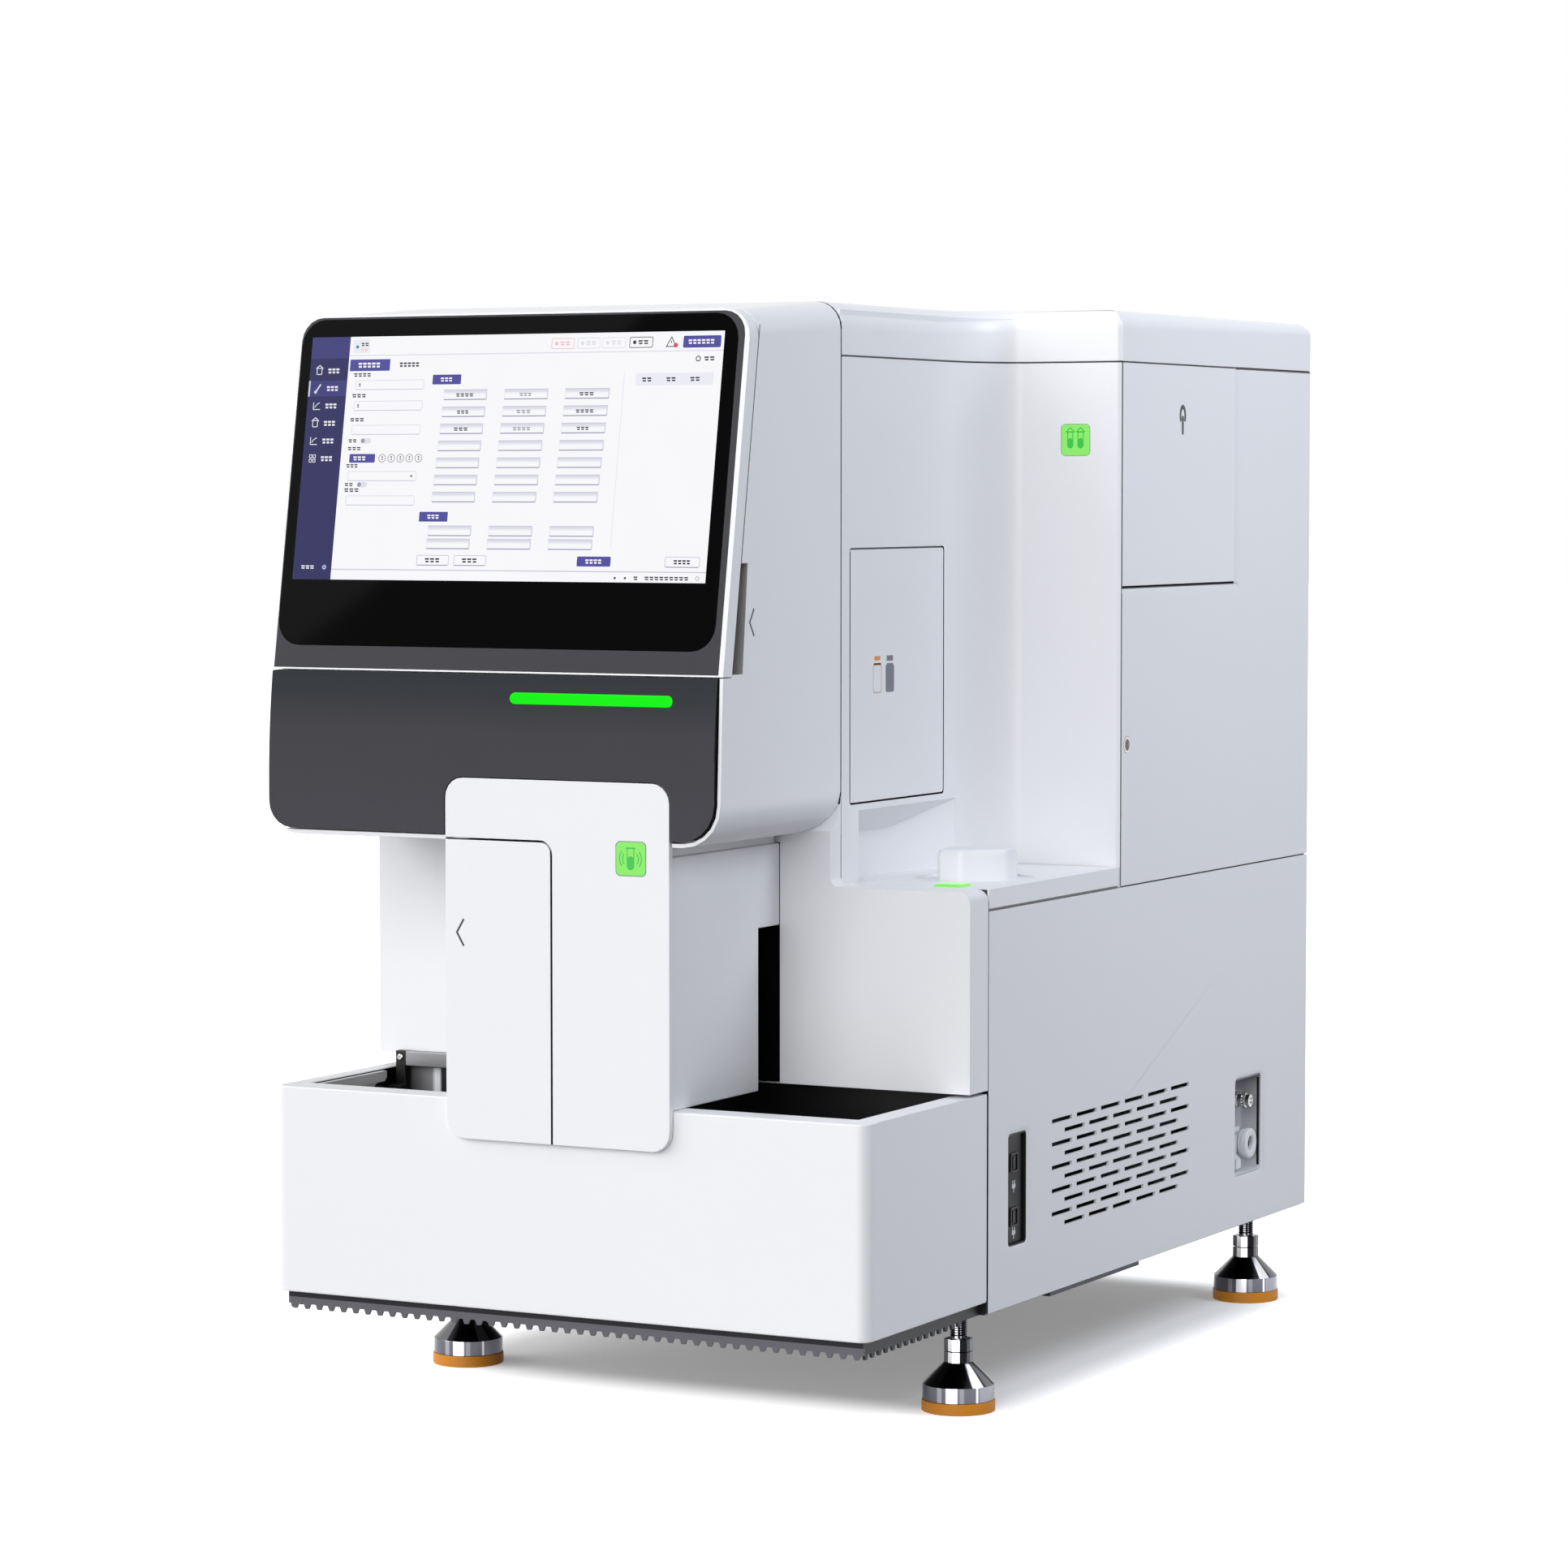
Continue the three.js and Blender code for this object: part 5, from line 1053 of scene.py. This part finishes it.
# Left bay: the dark back plate with its bright edge, the rail along the wall and the pusher's screw heads
BAY_PLATE = {"left": -304.0, "right": -150.0, "y": 200.0, "bottom": 268.0, "top": 343.5, "thick": 2.0}
RAIL_FACE = Face((-319.9, 0, 0), BACK, UP)
RAIL_TOP = [(48, 318), (168, 318), (172, 322), (172, 328.6), (48, 328.6)]
RAIL_FOOT = [(48, 313.8), (150, 313.8), (156, 318), (48, 318)]
PUSHER_SCREWS = {"x": -306, "places": ((176, 307), (186, 342))}
SOCKET_SCREW = [(0, -1), (3.4, -1), (3.4, 0.9), (2.4, 1.5), (1.2, 1.5), (1.2, 0.7), (0, 0.7)]


def fold_plate(shape):
    """A sheet with a folded lip along its top."""
    left, right, top, thick = (BAY_PLATE[key] for key in ("left", "right", "top", "thick"))
    face = facing_front((0, 0), BAY_PLATE["y"])
    plate(shape, face, rounded(left, BAY_PLATE["bottom"], right, top, 1.5, 3), 0, thick)
    plate(shape, face, rounded(left, top - 5, right, top, 1.2, 3), thick, 0.8)


def wall_rail(shape):
    """A rail with a stepped lower edge along the left wall of the bay."""
    plate(shape, RAIL_FACE, RAIL_TOP, 0, 6)
    plate(shape, RAIL_FACE, RAIL_FOOT, 0, 4.4)


def pusher_dots(shape):
    """Two bright screw heads on the bracket of the pusher."""
    for y, z in PUSHER_SCREWS["places"]:
        turned(shape, facing_front((0, 0), y), PUSHER_SCREWS["x"], z, SOCKET_SCREW, 18)


make("bay_back_plate", fold_plate, "chassis", "back_plate")
make("bay_rail", wall_rail, "chassis", "rail_grey")
make("pusher_screws", pusher_dots, "rack_pusher", "chrome")

# Closes the slit between the head and the column's top, beside the block's neck
NECK_FILLER = rounded(60, 581.6, 124.8, 590.6, 0.5, 2)
make("neck_filler", lambda s: plate(s, facing_front((0, 0), 228), NECK_FILLER, -2, 2), "chassis", "cover")

# Data ports: a face plate with two sockets and a plain plug sign under each
PORT_PLATE = Face((HALF_WIDTH - 8, 0, 0), BACK, UP)
PORT_OUTLINE = rounded(326.4, 168.9, 367.1, 281.1, 4)
PORT_MID = 345.5
SOCKET_LEVELS = (252, 196)
SIGN_LEVELS = (228, 180)
SIGN_LIFT = 1.9
SIGN_THICK = 0.25


def draw_port_plate(shape):
    plate(shape, PORT_PLATE, PORT_OUTLINE, 0, 2)
    for z in SOCKET_LEVELS:
        strip(shape, PORT_PLATE, around((PORT_MID, z), 8, 9, 1.6, 3), 1.8, 1.8, 1.4, True, 1)
        plate(shape, PORT_PLATE, around((PORT_MID, z), 2.2, 6.4, 0.5, 2), 1.8, 0.9, 1)


def draw_port_signs(shape):
    """A plug: a small body with two pins and a lead."""
    for z in SIGN_LEVELS:
        plate(shape, PORT_PLATE, around((PORT_MID, z - 0.6), 4.2, 2.4, 1.2, 3), SIGN_LIFT, SIGN_THICK)
        for u, start, end in ((-2.2, z + 1.8, z + 5.4), (2.2, z + 1.8, z + 5.4), (0, z - 3, z - 7)):
            points = [(PORT_MID + u, start), (PORT_MID + u, end)]
            strip(shape, PORT_PLATE, points, 1.6, SIGN_LIFT, SIGN_THICK)


make("port_plate", draw_port_plate, "chassis", "deck", "black")
make("port_signs", draw_port_signs, "chassis", "mark_white")

# Fittings in the rear recess: knurled tip, hollow nose, and the valve block behind the ring
METAL_FITTING = Face((HALF_WIDTH - 24, 977, 245), BACK, UP)
RING_FITTING = Face((HALF_WIDTH - 24, 984, 195), BACK, UP)
METAL_TIP = [(0, 12), (7.6, 12), (8.0, 12.6), (7.6, 13.2), (8.0, 13.8), (7.6, 14.4), (7.6, 16), (6.6, 16.4),
             (6.6, 19.6), (7.2, 20), (7.2, 21.4), (5.6, 21.9), (4.2, 21.9), (4.2, 17), (0, 17)]
KNURLS, KNURL_REACH, KNURL_HALF = 14, 8.0, 0.7
RING_RIM = [(8.3, 13), (16.6, 13), (17.2, 14), (17.2, 18.6), (16.0, 19.6), (13.8, 19.9), (10.4, 19.9),
            (8.6, 19.0), (8.3, 18.0), (8.3, 13)]
RING_HOLE = [(0, 13.2), (8.2, 13.2), (8.2, 14.2), (0, 14.2)]
VALVE_PROFILE = [(317.5, 168), (329.8, 168), (329.8, 178), (324.6, 184), (324.6, 206), (327.8, 211),
                 (327.8, 216), (317.5, 216)]
VALVE_DEPTHS = (954, 967.5)
GAP_FACE = Face((HALF_WIDTH - 5.8, 0, 0), BACK, UP)
GAP_OUTLINE = rounded(1003.0, 168, 1005.4, 269, 0.8, 3)


def draw_metal_fitting(shape):
    """A turned nose with a knurled ring at its root."""
    turned(shape, METAL_FITTING, 0, 0, METAL_TIP, 28)
    for u, v in arc(0, 0, KNURL_REACH, 0, 360, KNURLS)[:KNURLS]:
        left, right, low, high = u - KNURL_HALF, u + KNURL_HALF, v - KNURL_HALF, v + KNURL_HALF
        plate(shape, METAL_FITTING, [(left, low), (right, low), (right, high), (left, high)], 12.4, 3.4)


def draw_valve_block(shape):
    """A moulded block around the fitting's stem, with a stepped top."""
    skin(shape, [ring_on(shape, Face((0, 0, 0), RIGHT, UP), VALVE_PROFILE, -y) for y in VALVE_DEPTHS])


make("metal_fitting_tip", draw_metal_fitting, "chassis", "chrome")
make("ring_fitting_rim", lambda s: turned(s, RING_FITTING, 0, 0, RING_RIM, 36), "chassis", "nylon")
make("ring_fitting_hole", lambda s: turned(s, RING_FITTING, 0, 0, RING_HOLE, 30), "chassis", "black")
make("valve_block", draw_valve_block, "chassis", "nylon")
# Painted shade: a black plate in the open slit beside the rear wall of the recess
make("recess_gap_shade", lambda s: plate(s, GAP_FACE, GAP_OUTLINE, 0, 2.6), "chassis", "black")

# Door lock: a bright ring and a key slot
LOCK_FACE = Face((HALF_WIDTH, 617, 668), BACK, UP)
LOCK_RING = arc(0, 0, 7.6, 0, 345, 23)
KEY_SLOT = rounded(-2.4, -5.2, 1.4, 5.2, 1.2, 3)
make("lock_ring", lambda s: ink_line(s, LOCK_FACE, LOCK_RING, 2.4, True), "side_door_lock", "chrome")
make("lock_slot", lambda s: ink_area(s, LOCK_FACE, KEY_SLOT), "side_door_lock", "mark")

# Rear: screws in the panel, the fan guard, the inlet's pins and its edge
REAR = Face((0, BODY_BACK, 0), LEFT, UP)
REAR_SCREWS = [(x, z) for x in (-320, 0, 320) for z in (125, 330, 560, 800, 1050)]
FAN_AT = (180, 330)
FAN_RINGS = (16, 27, 38, 49)
SPOKE_END, FAN_SCREW_REACH = 57, 74.2
INLET_AT = (-210, 178)
INLET_PINS = ((-7, -2.5), (7, -2.5), (0, 3.5))


def screw(shape, at, radius=4.2):
    """A flat cross-head screw, flush with the sheet: its head, and the dark cross in it."""
    head = [(0, -0.5), (radius, -0.5), (radius, -0.15), (radius - 0.5, 0.015), (0, 0.015)]
    turned(shape, REAR, *at, head, 24)
    for across, up in ((2.4, 0.5), (0.5, 2.4)):
        plate(shape, REAR, around(at, across, up, 0.2, 2), -0.1, 0.13, 1)


def draw_rear_screws(shape):
    for at in REAR_SCREWS:
        screw(shape, at)


def draw_fan_guard(shape):
    """Rings of wire on four spokes, with a screw beyond each."""
    for radius in FAN_RINGS:
        strip(shape, REAR, arc(*FAN_AT, radius, 0, 350, 35), 1.7, -2.6, 1.7, True)
    rounds = [arc(*FAN_AT, reach, 45, 315, 3) for reach in (FAN_RINGS[0], SPOKE_END, FAN_SCREW_REACH)]
    for near, away, screw_at in zip(*rounds):
        strip(shape, REAR, [near, away], 1.9, -2.8, 1.7)
        screw(shape, screw_at, 3.4)


def draw_inlet_pins(shape):
    for u, v in INLET_PINS:
        plate(shape, REAR, around((INLET_AT[0] + u, INLET_AT[1] + v), 1.1, 2.4, 0.6, 3), -18.2, 13)


make("rear_screws", draw_rear_screws, "chassis", "chrome", "mark")
make("fan_guard", draw_fan_guard, "chassis", "chrome", "mark")
make("inlet_pins", draw_inlet_pins, "chassis", "brass")
make("inlet_edge", lambda s: strip(s, REAR, around(INLET_AT, 14.8, 11.3, 2), 1.0, -0.2, 0.21, True), "chassis",
     "dark_case")

# Labels and caps of the reagents
BOTTLES = {"bottle_a": (329.6, "mark_orange"), "bottle_b": (433.6, "mark_grey")}
BOTTLE_X, BOTTLE_RADIUS = 95.4, 46.0
LABEL_LOW, LABEL_HIGH = 655.0, 745.0
CAROUSEL_AT, PACK_TOP, PACKS = (170, 434), 457.4, 18
PACK_REACHES = (92, 120)
FLOOR_FACE = Face((0, 0, 0), RIGHT, BACK)


def wrap(y, low, high, grow, first=-70, last=70, sides=24):
    """Returns a builder of a label that lies around a bottle, from one direction in degrees to another."""
    inner, outer = BOTTLE_RADIUS - 1.5, BOTTLE_RADIUS + grow

    def build(shape):
        rows = [arc(BOTTLE_X, y, radius, first, last, sides) for radius in (inner, outer, outer, inner)]
        levels = (low, low, high, high)
        skin(shape, [[shape.verts.new(place(*point, level)) for point, level in zip(points, levels)]
                     for points in zip(*rows)])
    return build


for bottle_name, (bottle_y, stripe) in BOTTLES.items():
    make(f"{bottle_name}_label", wrap(bottle_y, LABEL_LOW, LABEL_HIGH, 0.4), "chassis", "label")
    make(f"{bottle_name}_stripe", wrap(bottle_y, LABEL_HIGH - 16, LABEL_HIGH - 6, 0.6), "chassis", stripe)


def draw_pack_caps(shape):
    """Two screw caps on each reagent pack, in two colours by turns."""
    profile = [(0, PACK_TOP - 1), (9, PACK_TOP - 1), (9, PACK_TOP + 5), (8, PACK_TOP + 6), (0, PACK_TOP + 6)]
    first, last = 180 / PACKS, 360 - 180 / PACKS
    for reach in PACK_REACHES:
        for k, at in enumerate(arc(*CAROUSEL_AT, reach, first, last, PACKS - 1)):
            turned(shape, FLOOR_FACE, *at, profile, 18, k % 2)


make("pack_caps", draw_pack_caps, "reagent_carousel", "mark_orange", "mark_grey")

# Threads on the four studs of the feet
FEET = {"foot_1": (293.4, 300.5), "foot_2": (-293.4, 300.5), "foot_3": (-293.4, 1072.6),
        "foot_4": (293.4, 1072.6)}
THREAD = {"low": 76.0, "high": 104.0, "root": 7.9, "crest": 8.8, "pitch": 2.4, "sides": 24}
THREAD_PROFILE = ((THREAD["root"], -1.0), (THREAD["crest"], 0.0), (THREAD["root"], 1.0))


def cut_thread(x, y):
    """Returns a builder of one thread around the stud at x, y."""
    def build(shape):
        turns = (THREAD["high"] - THREAD["low"]) / THREAD["pitch"]
        rings = []
        for k in range(int(turns * THREAD["sides"]) + 1):
            turn = 2 * math.pi * k / THREAD["sides"]
            level = THREAD["low"] + THREAD["pitch"] * k / THREAD["sides"]
            across, along = math.cos(turn), math.sin(turn)
            rings.append([shape.verts.new(place(x + radius * across, y + radius * along, level + rise))
                          for radius, rise in THREAD_PROFILE])
        skin(shape, rings, ends=False)
    return build


for number, (foot_body, (foot_x, foot_y)) in enumerate(FEET.items(), 1):
    make(f"stud_thread_{number}", cut_thread(foot_x, foot_y), foot_body, "thread", slot="foot_steel")
